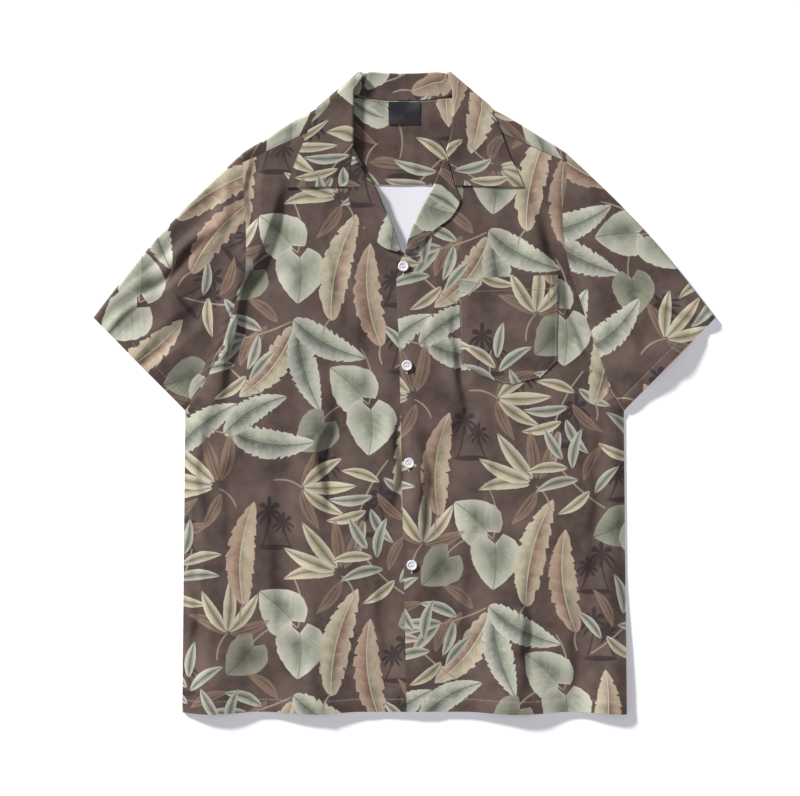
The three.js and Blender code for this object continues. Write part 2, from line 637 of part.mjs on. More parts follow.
// A sleeve: a flattened tube from the cuff to the armhole seam, with its top and underarm folds.
function sleeve(armholeRows, side) {
  const armhole = offsetLine(armholeRows.map(plan), (-side * SEAM) / 2).reverse();
  armhole[armhole.length - 1].add(new THREE.Vector2(side * 0.8, 0.6));
  const lengths = armhole.map((p, i) => (i ? p.distanceTo(armhole[i - 1]) : 0));
  const total = lengths.reduce((a, b) => a + b, 0);
  let walked = 0;
  const shares = lengths.map((length) => (walked += length) / total);
  const tip = new THREE.Vector2(side * SLEEVE_TIP.x, SLEEVE_TIP.y);
  const underarm = new THREE.Vector2(side * (CHEST_HALF + SEAM + 0.6), UNDERARM_Y + 0.6);
  const bulge = new THREE.Vector2(side * 5.5, 5);
  const alongUnderarm = armhole[armhole.length - 1].clone().sub(underarm).normalize();
  const acrossUnderarm = new THREE.Vector2(alongUnderarm.y, -alongUnderarm.x).multiplyScalar(side);
  const wall = SLEEVE_ROWS.map((row) => (row.hem < 1 ? CLOTH + TURNED : CLOTH));
  const grid = SLEEVE_ROWS.map((row, r) => {
    const middleOf = (p) => at(p, floorLift(p.x, p.y) + wall[r] / 2);
    const topOf = (p) => at(p, frontHeight(p.x, p.y) + wall[r] / 2);
    const line = armhole.map((p, k) => {
      const cuff = tip.clone().lerp(underarm, shares[k]);
      const passed = row.hem * Math.min(HEM / cuff.distanceTo(p), 0.45);
      const v = lerp(passed, 1, row.beyond);
      const outer = (1 - shares[k]) ** 2 * Math.sin(Math.PI * v);
      return cuff.lerp(p, v).addScaledVector(bulge, outer);
    });
    const foldOf = (here, next, from, to, across) => {
      const inward = next.clone().sub(here).normalize().add(across).normalize();
      const radius = (topOf(here).z - middleOf(here).z) / 2;
      const centre = here.clone().addScaledVector(inward, radius + wall[r] / 2);
      const outward = new THREE.Vector3(-inward.x, -inward.y, 0);
      return arc(at(centre, middleOf(here).z + radius), outward, UP, radius, from, to, FOLD_STEPS);
    };
    const last = line.length - 1;
    const between = line.slice(1, last);
    return [
      ...foldOf(line[0], line[1], -90, 90, new THREE.Vector2()),
      ...between.map(topOf),
      ...foldOf(line[last], line[last - 1], 90, -90, acrossUnderarm),
      ...[...between].reverse().map(middleOf),
    ];
  });
  return wallAbout(grid, (r) => wall[r], true);
}

// The patch pocket lies on the upper front.
function pocket() {
  const left = POCKET_ROWS.map((row) => new THREE.Vector2(row.leftX, row.leftY));
  const right = POCKET_ROWS.map((row) => new THREE.Vector2(row.rightX, row.rightY));
  const shares = [0, 0.14, 0.28, 0.42, 0.56, 0.7, 0.85, 1];
  const [mouth] = POCKET_ROWS.slice(-1);
  const hemLine = (x) => {
    const share = (x - mouth.leftX) / (mouth.rightX - mouth.leftX);
    return lerp(mouth.leftY, mouth.rightY, share) - POCKET_HEM + 0.5;
  };
  const thickness = (x, y) => (y > hemLine(x) ? CLOTH + TURNED : CLOTH);
  return panel(ruled(left, right, shares), (x, y) => upperFrontHeight(x, y) + CLOTH + LAY, thickness);
}

// The woven neck label hangs from the neck seam onto the lining.
function label() {
  const rows = [0, 0.34, 0.67, 1].map((share) => lerp(LABEL.foot, LABEL.top, share));
  const columns = [0, 0.5, 1].map((share) => lerp(LABEL.left, LABEL.right, share));
  const grid = rows.map((y) => columns.map((x) => new THREE.Vector2(x, y)));
  return panel(grid, (x, y) => liningHeight(x, y) + CLOTH + SEAM, () => LABEL.wall);
}

const wasm = await Module();
wasm.setup();

function solid(geometry) {
  const bare = geometry.index ? geometry.toNonIndexed() : geometry.clone();
  bare.deleteAttribute("normal");
  bare.deleteAttribute("uv");
  const merged = mergeVertices(bare, 1e-4);
  const { array: vertProperties } = merged.attributes.position;
  const triVerts = new Uint32Array(merged.index.array);
  return new wasm.Manifold(new wasm.Mesh({ numProp: 3, vertProperties, triVerts }));
}

// A four-hole button: a turned disc with a raised rim and a dished middle.
function buttonGeometry() {
  const { radius, height, dish, holeRadius, holeOffset } = BUTTON;
  const profile = [
    [0, 0], [radius - 1.2, 0], [radius, 0.9], [radius, height - 0.7], [radius - 0.7, height],
    [dish + 0.7, height], [dish, height - 0.8], [0, height - 0.8],
  ].map(([x, y]) => new THREE.Vector2(x, y));
  const disc = new THREE.LatheGeometry(profile, 20).rotateX(Math.PI / 2);
  let body = solid(disc);
  if (body.volume() < 0) throw new Error("the button's profile runs the wrong way");
  for (const [sx, sy] of [[1, 1], [1, -1], [-1, 1], [-1, -1]]) {
    const hole = new THREE.CylinderGeometry(holeRadius, holeRadius, 3 * height, 6).rotateX(Math.PI / 2);
    hole.translate(sx * holeOffset, sy * holeOffset, height / 2);
    body = body.subtract(solid(hole));
  }
  const mesh = body.getMesh();
  const geometry = new THREE.BufferGeometry();
  geometry.setAttribute("position", new THREE.BufferAttribute(new Float32Array(mesh.vertProperties), 3));
  geometry.setIndex(new THREE.BufferAttribute(new Uint32Array(mesh.triVerts), 1));
  geometry.computeVertexNormals();
  return geometry;
}

// Materials
const printedCloth = new THREE.MeshStandardMaterial({ color: 0x6b5b54, roughness: 0.62 });
const labelCloth = new THREE.MeshStandardMaterial({ color: 0x1e1c26, roughness: 0.8 });
const buttonResin = new THREE.MeshStandardMaterial({ color: 0xe9e6ea, roughness: 0.3 });

// Assembly
const UNDER_EDGE = table("x y", [[UNDER_EDGE_X, HEM_Y + 0.4], [UNDER_EDGE_X, 138], [12, 154]]);
const UPPER_EDGE = table("x y", [[2.8, HEM_Y], [-2.2, -150], [-6.7, 57.6], [-9.7, 130.8], [-6.6, 148]]);

const shirt = new THREE.Group();
const add = (name, geometry, material = printedCloth) => {
  const mesh = new THREE.Mesh(geometry, material);
  mesh.name = name;
  shirt.add(mesh);
  return mesh;
};

add("back", backPanel());
add("yoke_outer", yokeOuter());
add("yoke_lining", yokeLining());
add("front_right", frontPanel({
  edge: EDGE_RIGHT_SIDE,
  freeEdge: UNDER_EDGE,
  roll: ROLL_RIGHT_SIDE,
  stations: COLLAR_RIGHT_SIDE,
  side: -1,
  columns: UNDER_FRONT_COLUMNS,
  underside: frontHeight,
}));
add("front_left", frontPanel({
  edge: EDGE_LEFT_SIDE,
  freeEdge: UPPER_EDGE,
  roll: ROLL_LEFT_SIDE,
  stations: COLLAR_LEFT_SIDE,
  side: 1,
  columns: UPPER_FRONT_COLUMNS,
  underside: upperFrontHeight,
}));
add("facing_right", revers(REVERS_RIGHT_SIDE, false));
add("facing_left", revers(REVERS_LEFT_SIDE, true));
add("collar", collar());
add("sleeve_right", sleeve(ARMHOLE_RIGHT_SIDE, -1));
add("sleeve_left", sleeve(ARMHOLE_LEFT_SIDE, 1));
add("pocket", pocket());
add("label", label(), labelCloth);
const buttonShape = buttonGeometry();
BUTTONS.forEach((place, i) => {
  const button = add(`button_${i + 1}`, buttonShape, buttonResin);
  button.position.set(place.x, place.y, upperFrontHeight(place.x, place.y) + CLOTH + SEAM);
});

export default shirt;
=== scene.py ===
# %% [markdown]
# A short-sleeved camp-collar shirt, buttoned and laid flat on its back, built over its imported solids.
# Lengths are in millimetres until a mesh is made. +X is the viewer's right and +Y the collar.
# Such a shirt could be draped by a simulation, but laid flat its form is known from above, to the
# crease. So every layer is a surface worked out from short tables, and it stays where it was put.

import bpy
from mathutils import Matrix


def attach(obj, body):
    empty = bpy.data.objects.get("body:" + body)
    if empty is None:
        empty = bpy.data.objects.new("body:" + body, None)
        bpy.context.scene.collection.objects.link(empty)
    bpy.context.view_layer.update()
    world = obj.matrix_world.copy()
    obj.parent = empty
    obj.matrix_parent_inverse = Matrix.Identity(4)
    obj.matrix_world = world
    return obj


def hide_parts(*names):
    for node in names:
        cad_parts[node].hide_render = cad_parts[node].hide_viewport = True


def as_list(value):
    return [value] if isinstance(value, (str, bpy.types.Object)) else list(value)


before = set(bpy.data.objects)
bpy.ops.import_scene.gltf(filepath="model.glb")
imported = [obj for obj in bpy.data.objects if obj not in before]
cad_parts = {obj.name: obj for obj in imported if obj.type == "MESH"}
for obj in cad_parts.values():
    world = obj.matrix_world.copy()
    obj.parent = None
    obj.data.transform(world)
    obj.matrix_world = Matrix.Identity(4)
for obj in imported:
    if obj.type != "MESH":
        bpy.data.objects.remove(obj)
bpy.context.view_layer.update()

import math

import bpy
import numpy as np
from mathutils import Vector

# %% [markdown]
# These measures are the solids' own. The cloth in the picture lies on their forms, so its heights
# come from the same values: where the front lies on the lining, where it is lifted, how it turns.

# %% Measures
MM = 0.001
CLOTH = 1.2  # wall of one layer in the solids
DOUBLE = 1.5  # wall of two cloths sewn together
SEAM = 0.4  # gap between pieces that meet
LAY = 0.5  # gap between a piece and the panel that it lies on
TURNED = 0.4  # extra thickness of a turned hem
HEM = 15.0
CUFF_HEM = 12.0
POCKET_HEM = 16.0
HEM_Y = -382.1
HEM_HALF = 266.5
HEM_DROP = 0.5  # share of a wave's height by which the hem's edge moves down in plan
CHEST_HALF = 263.0
UNDERARM_Y = -21.0
YOKE_Y = 249.6
UNDER_EDGE_X = 24.6
SLEEVE_TIP = (373.0, 90.5)
SHELL = 0.6  # thickness of a cloth layer as it is drawn
ROLL_RADIUS = 1.4
ROLL_LIFT = 2.3  # the collar and revers stand off the chest at their roll
FALL_RISE = 1.8  # the yoke rises over the collar's fall behind the neck
LINING_RISE = 1.7  # the front rises over the yoke lining
OVERLAP_RISE = 2.0  # the upper front rises over the under front
LOFT = 4.3  # how far the limp front stands off the back between its folds
CREASE_DEPTH = 2.9  # millimetres for each unit of height in the table of creases
print("laid flat:", 2 * CHEST_HALF, "mm across the chest")

# %% [markdown]
# A cloth's relief has three sizes. Broad folds are in the solids too. Waves lift the hem and cuffs
# off the table. Creases are the cloth's own: each has a steep flank and a long one, since a fold
# that has fallen over is never even, and the steep flank is what the low light turns dark.

# %% Folds, waves and creases
# Folds and waves: x, y, turn from +Y, half length, half width, height.
FOLDS = [
    (-89, -70, 0, 120, 24, -1.2),
    (-66, -150, 2, 230, 32, 1.3),
    (-160, -270, -3, 170, 40, 1.1),
    (-205, -180, 4, 190, 34, -0.9),
    (31, -127, 3, 110, 24, -1.2),
    (62, -60, -6, 170, 30, 1.0),
    (100, -200, 5, 200, 34, 1.2),
    (143, -300, 0, 120, 28, -1.3),
    (205, -190, -4, 220, 40, 1.2),
    (-252, -300, 0, 80, 20, -0.8),
    (-172, 140, 4, 150, 26, -1.2),
    (-140, 60, 12, 170, 34, 1.2),
    (-226, 40, 24, 120, 24, -1.0),
    (203, 118, -20, 130, 24, -1.2),
    (232, 10, -32, 90, 26, 1.0),
    (-285, 135, 45, 150, 34, 1.4),
    (-262, 85, 40, 130, 28, -1.1),
    (-318, 62, 50, 90, 26, 1.0),
    (285, 135, -45, 150, 34, 1.4),
    (262, 80, -38, 130, 28, -1.1),
    (322, 66, -52, 90, 26, 1.0),
]
WAVES = [
    (-231, -384, 0, 170, 52, 6.5),
    (-109, -384, 0, 200, 58, 6.0),
    (136, -384, 0, 210, 62, 7.0),
    (262, -384, 0, 180, 56, 6.5),
    (-318, 30, 45, 120, 46, 6.0),
    (322, 30, -45, 130, 60, 7.5),
]

# The same, with a half width of its own on each side, for the creases that only the cloth has:
# x, y, turn, half length, half width to the left, half width to the right, height.
CREASES = [
    (-99, -66, 0, 96, 46, 16, 1.4),
    (-82, -66, 0, 94, 15, 44, -1.8),
    (-20, -84, 1, 96, 36, 12, 0.9),
    (-6, -84, 1, 96, 12, 24, -1.1),
    (19, -122, 2, 88, 30, 15, 1.1),
    (35, -122, 2, 86, 15, 44, -1.6),
    (138, -300, 1, 84, 42, 16, 1.3),
    (154, -300, 1, 80, 15, 44, -1.7),
    (56, 22, 0, 128, 30, 10, 0.8),
    (68, 22, 0, 120, 12, 20, -0.9),
    (60, -60, 2, 84, 12, 22, -0.8),
    (-250, -298, 2, 66, 9, 20, -1.3),
    (-232, -70, 4, 92, 12, 30, -1.1),
    (-214, -110, 3, 120, 22, 14, 0.9),
    (-256, -190, -2, 130, 9, 16, -0.9),
    (-181, 240, 6, 60, 10, 16, -1.5),
    (-172, 178, 22, 96, 30, 13, 1.5),
    (-158, 172, 22, 92, 13, 34, -2.1),
    (-196, 60, 20, 92, 14, 26, -1.6),
    (-212, 66, 20, 92, 26, 13, 1.3),
    (182, 176, -20, 80, 16, 14, -1.8),
    (168, 150, -20, 116, 26, 14, 1.5),
    (208, 104, -18, 92, 14, 26, -2.0),
    (236, 40, -30, 78, 14, 22, -1.3),
    (-304, 128, 52, 118, 20, 14, -1.5),
    (-292, 150, 50, 120, 14, 14, 1.5),
    (-262, 196, 38, 96, 18, 14, -1.0),
    (-334, 96, 50, 76, 14, 10, 0.9),
    (-282, 62, 42, 90, 16, 14, -1.6),
    (300, 140, -50, 124, 16, 16, -1.4),
    (318, 118, -52, 110, 14, 14, 1.2),
    (262, 196, -40, 100, 14, 18, -1.1),
    (276, 74, -40, 92, 14, 16, -1.2),
    (340, 84, -56, 76, 12, 14, -1.0),
    (225, 214, -12, 84, 16, 14, 0.9),
    (-222, 214, 12, 84, 16, 14, 0.9),
    (-26, -250, -3, 150, 13, 30, -0.9),
    (78, -236, 4, 140, 13, 30, -0.8),
    (-150, -210, -6, 160, 14, 34, -1.0),
    (-108, -330, -4, 90, 14, 14, 0.8),
    (206, -320, 3, 90, 12, 26, -0.9),
    (228, -150, 4, 150, 14, 30, -1.0),
    (112, -110, -7, 130, 14, 30, -0.8),
    (-40, 70, -4, 110, 14, 28, -0.8),
    (-78, 150, -10, 96, 14, 28, -0.8),
    (36, 100, 6, 90, 12, 22, 0.6),
    (118, 186, -36, 60, 14, 20, -0.7),
]

print(len(FOLDS), "folds,", len(WAVES), "waves,", len(CREASES), "creases")

# %% [markdown]
# The outlines are seams and edges in plan. A line has only the points that its shape needs, and a
# table of stations says how a folded piece runs from one to the next: roll, free edge, neck seam.

# %% Outlines of the pieces
ARMHOLE_RIGHT_SIDE = [
    (-244, 5), (-232, 28), (-220, 52), (-212, 78), (-204, 104), (-196, 126), (-190.5, 142),
    (-190, 165), (-190.2, 190), (-191.4, 220), (-193.5, 249.6), (-194.2, 268), (-193.6, 288),
]
ARMHOLE_LEFT_SIDE = [
    (247, 4), (240, 28), (231, 52), (222, 78), (213, 104), (206, 126), (200, 142),
    (195, 165), (190.5, 192), (189.2, 220), (193.5, 249.6), (194.2, 268), (193.6, 288),
]
ROLL_RIGHT_SIDE = [
    (-54.6, 386), (-60, 377), (-60.6, 340), (-60.6, 297), (-57, 281), (-46, 262), (-34, 246),
    (-23.4, 222), (-12.6, 199), (-4, 172),
]
ROLL_LEFT_SIDE = [
    (54.6, 386), (57.5, 377), (57, 340), (55, 313), (50, 290), (42.5, 268), (34, 248),
    (23.4, 228), (10, 201), (0, 168),
]

# Collar stations: roll line, free edge, neck seam, share of the turn at the roll.
COLLAR_RIGHT_SIDE = [
    (-68.2, 248, -142, 246.3, 0, 0, 0),
    (-66.4, 262, -136, 263, 0, 0, 0),
    (-64, 280, -129, 282, 0, 0, 0),
    (-60.8, 297, -122.4, 297.5, 0, 0, 0.5),
    (-60.7, 303.5, -120.8, 301.6, -63.4, 302.5, 1),
    (-60.6, 318, -118, 308.5, -66, 316, 1),
    (-60.6, 340, -113.6, 319.5, -69.6, 336, 1),
    (-60.4, 362, -109.8, 328.5, -71, 350, 1),
]
COLLAR_LEFT_SIDE = [
    (60.8, 249, 143, 247, 0, 0, 0),
    (57.5, 263, 136, 264, 0, 0, 0),
    (53.5, 278, 127, 282, 0, 0, 0),
    (49.6, 291, 121, 297.5, 0, 0, 0.5),
    (50.4, 294.5, 120.6, 299, 0, 0, 0.75),
    (51.4, 297.2, 120.1, 300.4, 53.8, 297.2, 1),
    (53.8, 305.5, 119.2, 303, 59, 304.4, 1),
    (56.4, 318, 117.2, 308, 63.2, 315, 1),
    (57, 340, 113, 319, 68, 336, 1),
    (57.2, 362, 109.4, 328, 70.5, 350, 1),
]
COLLAR_SHOULDER = {"roll": (54.6, 386), "edge": (102.2, 345.4), "neck": (69.5, 363)}
COLLAR_BACK = [  # x, roll line, free edge, neck seam
    (-38, 385.2, 337, 353),
    (-24, 384.2, 335, 351.2),
    (-9, 383.6, 333.8, 350.6),
    (9, 383.6, 333.8, 350.6),
    (24, 384.2, 335, 351.2),
    (38, 385.2, 337, 353),
]
COLLAR_TURN_ANGLES = np.linspace(90, -90, 7)
FREE_EDGE_BEFORE = 9.0
FREE_EDGE_BEHIND = 4.3
ROLL_BEHIND = 3.3  # how much further up the roll stands behind the neck than its turn alone gives

FORWARD_SEAM = {"outer": (193.8, 277.0), "inner": (70.5, 333.0)}
YOKE_COLUMNS = [  # foot x, fold x, fold y, end x, end y (0 for the forward seam), share of the turn
    (-193.4, -193.3, 288.2, -194.0, 0, 1),
    (-178, -178, 298, -178, 0, 1),
    (-160, -160, 309, -160, 0, 1),
    (-140, -140, 321.5, -140, 0, 1),
    (-120, -120, 333, -120, 0, 1),
    (-102, -105, 341, -103, 0, 1),
    (-90, -94, 347.6, -88, 0, 1),
    (-80, -85.5, 352.7, -78, 0, 1),
    (-72, -81, 355.4, -71.4, 0, 1),
    (-66, -78.6, 356.8, -73, 345, 1),
    (-61, -76.2, 358.2, -74, 353, 1),
    (-58, -73.4, 359.9, -73.4, 359.9, 0.75),
    (-55, -70.2, 361.4, -70.2, 361.4, 0.4),
    (-52, -59, 356.6, -59, 356.6, 0),
    (-36, -38, 352, -38, 352, 0),
    (-18, -18, 350.3, -18, 350.3, 0),
    (0, 0, 350, 0, 350, 0),
]
REVERS_RIGHT_SIDE = [  # visible roll line and outer edge
    (-4, 172, -10, 169.5),
    (-9, 188, -22, 173),
    (-14.5, 203, -38, 186),
    (-23.4, 222, -56, 211),
    (-34, 246, -66.6, 232),
    (-46, 262, -67.6, 246.6),
    (-57, 281, -63.4, 279),
    (-57.9, 285.5, -62.3, 285),
]
REVERS_LEFT_SIDE = [
    (0, 168, 6, 166.5),
    (5, 187, 21, 181.5),
    (12, 205, 37, 196.5),
    (23.4, 228, 57, 212),
    (34, 248, 66.6, 232),
    (38, 258, 60.2, 247.6),
    (42.5, 268, 55.2, 266),
    (46.2, 279, 50, 281),
]
POCKET_ROWS = [  # left x, left y, right x, right y, from the foot up
    (118, 11, 130, 10.4),
    (91.8, 21.6, 162.6, 18.5),
    (68.5, 34.8, 183, 37.2),
    (67.5, 60, 183.2, 62),
    (66.4, 90, 183.4, 93),
    (65.4, 120.8, 183.6, 125.6),
    (64.8, 136.8, 183.7, 141.6),
]
BUTTONS = [(-1.3, 151.8), (3, 32.9), (5.4, -84), (8.9, -206.4)]
LABEL = {"left": -19.2, "right": 18.6, "top": 349.2, "foot": 321.8}
print(len(COLLAR_RIGHT_SIDE) + len(COLLAR_LEFT_SIDE) + len(COLLAR_BACK), "collar stations")

# %% [markdown]
# Cloth never follows one clean formula, so each crease is a soft hill or trough on coordinates that
# an uneven ripple has pushed about. A line through measured points is eased with cubic pieces that
# never swing past the points, because an outline must stay where it was measured.


# %% Soft shapes
def lerp(a, b, share):
    """The point a share of the way from a to b."""
    return a + (b - a) * share


def smoothstep(x, low, high):
    """0 below low, 1 above high, and an eased step between."""
    share = np.clip((x - low) / (high - low), 0, 1)
    return share * share * (3 - 2 * share)


def hill(x, y, row):
    """A hill of height 1: (1 - r²)² in the ellipse that the row gives, and flat outside it."""
    if len(row) == 6:
        cx, cy, turn, length, left, height = row
        right = left
    else:
        cx, cy, turn, length, left, right, height = row
    angle = math.radians(turn)
    along = (x - cx) * math.sin(angle) + (y - cy) * math.cos(angle)
    across = (x - cx) * math.cos(angle) - (y - cy) * math.sin(angle)
    reach = (along / length) ** 2 + (across / np.where(across < 0, left, right)) ** 2
    return np.where(reach < 1, (1 - np.minimum(reach, 1)) ** 2, 0)


def relief(x, y, rows):
    """The sum of a table's hills, each times its height."""
    return sum(row[-1] * hill(x, y, row) for row in rows)


def ripple(x, y, wavelength, seed):
    """Uneven waves: seven sine waves in seeded directions, about one wavelength long, summed."""
    waves = np.random.default_rng(seed).uniform((0, 0, 0.7), (7, 7, 1.5), (7, 3))
    total = 0
    for turn, phase, stretch in waves:
        along = x * math.cos(turn) + y * math.sin(turn)
        total = total + np.sin(2 * math.pi * along / (wavelength * stretch) + phase)
    return total / math.sqrt(7)


def eased(values, at, knots=None):
    """A smooth line through values at knots: cubic pieces, each slope the harmonic mean of its two."""
    values = np.asarray(values, float)
    knots = np.arange(len(values), dtype=float) if knots is None else np.asarray(knots, float)
    step = np.diff(knots).reshape(-1, *[1] * (values.ndim - 1))
    slope = np.diff(values, axis=0) / step
    before, after = slope[:-1], slope[1:]
    same = before * after > 0
    total = np.where(same, before + after, 1)
    inner = np.where(same, 2 * before * after / total, 0)
    tangent = np.concatenate([slope[:1], inner, slope[-1:]])
    piece = np.clip(np.searchsorted(knots, at, side="right") - 1, 0, len(values) - 2)
    width = step[piece]
    t = (np.asarray(at, float) - knots[piece]).reshape(width.shape) / width
    return (
        (2 * t**3 - 3 * t**2 + 1) * values[piece]
        + (t**3 - 2 * t**2 + t) * width * tangent[piece]
        + (3 * t**2 - 2 * t**3) * values[piece + 1]
        + (t**3 - t**2) * width * tangent[piece + 1]
    )


def lengths_along(points):
    """Distance walked along a line of points, from 0."""
    steps = np.linalg.norm(np.diff(points, axis=0), axis=1)
    return np.concatenate([[0], np.cumsum(steps)])


def walked_rows(grid):
    """Distance walked along each row of points, from 0."""
    steps = np.linalg.norm(np.diff(grid, axis=1), axis=2)
    return np.concatenate([np.zeros((len(grid), 1)), np.cumsum(steps, axis=1)], axis=1)


def eased_between(sections, steps):
    """Sections of one size with that many steps from each to the next, eased."""
    spans = len(sections) - 1
    return eased(sections, np.linspace(0, spans, steps * spans + 1))


def resample(path, count, bend_length):
    """A path in equal steps, where a turn of one radian counts as bend_length of way."""
    path = np.asarray(path, float)
    keep = np.concatenate([[True], np.linalg.norm(np.diff(path, axis=0), axis=1) > 1e-4])
    path = path[keep]
    steps = np.diff(path, axis=0)
    sizes = np.linalg.norm(steps, axis=1)
    ways = steps / sizes[:, None]
    turns = np.zeros(len(path))
    turns[1:-1] = np.arccos(np.clip((ways[1:] * ways[:-1]).sum(1), -1, 1))
    reached = np.concatenate([[0], np.cumsum(sizes + bend_length * (turns[1:] + turns[:-1]) / 2)])
    at = np.linspace(0, reached[-1], count)
    return np.stack([np.interp(at, reached, path[:, k]) for k in range(3)], axis=1)


def distance_to_line(x, y, line):
    """Least distance from points to a line of points, all in plan."""
    nearest = np.full(np.shape(x), np.inf)
    for (ax, ay), (bx, by) in zip(line, line[1:]):
        dx, dy = bx - ax, by - ay
        share = np.clip(((x - ax) * dx + (y - ay) * dy) / (dx * dx + dy * dy), 0, 1)
        nearest = np.minimum(nearest, np.hypot(x - ax - share * dx, y - ay - share * dy))
    return nearest


# %% [markdown]
# The heights go up layer by layer: what lifts the back, the front over it, and the collar and revers
# over the front. The creases fade under the collar and pocket, so the layers there never meet.


# %% Heights of the layers
def floor_lift(x, y):
    """Height of the back's underside: only the hem waves and the lifted cuffs leave the surface."""
    return relief(x, y, WAVES)


def fall_rise(x, y):
    """The yoke rises over the part of the collar's fall that lies behind the neck."""
    return FALL_RISE * smoothstep(y, 285, 328) * (1 - smoothstep(np.abs(x), 110, 152))


def hem_drop(x):
    """How far the hem's edge moves down in plan under a wave."""
    return HEM_DROP * relief(x, HEM_Y, WAVES)


def side_half(y):
    """Half width of the body at a height."""
    return lerp(HEM_HALF, CHEST_HALF, np.clip((y - HEM_Y) / (UNDERARM_Y - HEM_Y), 0, 1))


def soft_creases(x, y):
    """The creases on pushed coordinates, with fine ripples of the limp cloth over them."""
    px = x + 5 * ripple(x, y, 95, 3)
    py = y + 8 * ripple(x, y, 120, 4)
    broad = 0.55 * ripple(x * 1.3, y * 0.45, 78, 5)
    fine = 0.13 * ripple(x * 1.5, y * 0.8, 40, 7) + 0.05 * ripple(x * 1.3, y, 17, 6)
    return CREASE_DEPTH * relief(px, py, CREASES) + broad + fine


def crease_room(x, y):
    """1 where the front may crease freely, less under the collar and the revers."""
    collar = smoothstep(y, 236, 262) * (1 - smoothstep(np.abs(x), 140, 168))
    revers = smoothstep(y, 160, 196) * (1 - smoothstep(np.abs(x), 60, 84))
    return 1 - 0.85 * np.maximum(collar, revers)


def front_top(x, y, overlap=False):
    """Height of the front's upper face, and of the sleeves', which go on from it."""
    inside = side_half(y) - np.abs(x)
    seamed = np.where(y < UNDERARM_Y + 14, smoothstep(inside, -4, 22), 1)
    released = smoothstep(y, UNDERARM_Y - 14, UNDERARM_Y + 14)
    folds = relief(x, y, FOLDS) + soft_creases(x, y) * crease_room(x, y)
    loft = (LOFT + folds) * np.maximum(seamed, released)
    loft = np.logaddexp(loft * 3, -0.5 * 3) / 3  # a deep trough eases out above the back
    lining = LINING_RISE * smoothstep(y, 222, 250) * (1 - smoothstep(np.abs(x), 196, 240))
    over_hem = TURNED * (1 - smoothstep(y + hem_drop(x), HEM_Y + HEM - 1, HEM_Y + HEM + 1))
    top = floor_lift(x, y) + 2 * CLOTH + SEAM + over_hem + loft + lining + fall_rise(x, y)
    if overlap:
        over = 1 - smoothstep(x, UNDER_EDGE_X + 3, UNDER_EDGE_X + 24)
        top = top + OVERLAP_RISE * over * (1 - smoothstep(y, 168, 210))
    return top


def hem_work(x, y):
    """The turned hem: a pucker along its stitching and a soft step where its inner edge lies."""
    up = y + hem_drop(x) - HEM_Y
    near = np.exp(-(((up - HEM) / 5) ** 2))
    pucker = 0.16 * np.sin(2 * math.pi * x / 9 + 1.5 * ripple(x, y, 40, 8)) * near
    return pucker - 0.35 * np.exp(-(((up - HEM) / 1.6) ** 2))


def revers_height(x, y, overlap=False):
    """Height of the middle of the collar or revers: on the chest, higher near its roll line."""
    near = np.minimum(distance_to_line(x, y, ROLL_RIGHT_SIDE), distance_to_line(x, y, ROLL_LEFT_SIDE))
    chest = front_top(x, y, overlap)
    return chest + LAY + DOUBLE / 2 + ROLL_LIFT * np.exp(-((near / 18) ** 2))


def lining_height(x, y):
    """Height of the yoke lining's upper face."""
    return fall_rise(x, y) + CLOTH + 2 * SEAM + CLOTH


print("chest height", round(float(front_top(np.array(100.0), np.array(0.0))), 2), "mm")

# %% [markdown]
# The print is a tossed tropical repeat, as is screen printed on rayon challis: sprays of leaves in
# sage, cream and tan over a brown ground with small plum palms. It could be an image, but formulas
# stay sharp at any size. Each leaf is a row: its kind, where it starts, its heading and its size.

# %% Kinds of leaf and bouquets
HEART_BACK = 0.2  # share of a heart that lies behind its stalk, in two lobes
KINDS = [
    "heart", "heart_shade", "banana", "banana_turned", "serrated",
    "lance_cream", "lance_sage", "lance_brown", "stem",
]
# How the half width runs along a blade: rise, fall, teeth, depth of a tooth, notch at the stalk.
BLADES = {
    "heart": (0.50, 0.88, 0, 0, 2.3),
    "heart_shade": (0.50, 0.88, 0, 0, 2.3),
    "banana": (0.55, 0.70, 8, 0.20, 0),
    "banana_turned": (0.55, 0.70, 8, 0.20, 0),
    "serrated": (0.55, 0.80, 12, 0.15, 0),
    "lance_cream": (0.75, 0.95, 0, 0, 0),
    "lance_sage": (0.75, 0.95, 0, 0, 0),
    "lance_brown": (0.75, 0.95, 0, 0, 0),
    "stem": (0.10, 0.12, 0, 0, 0),
}
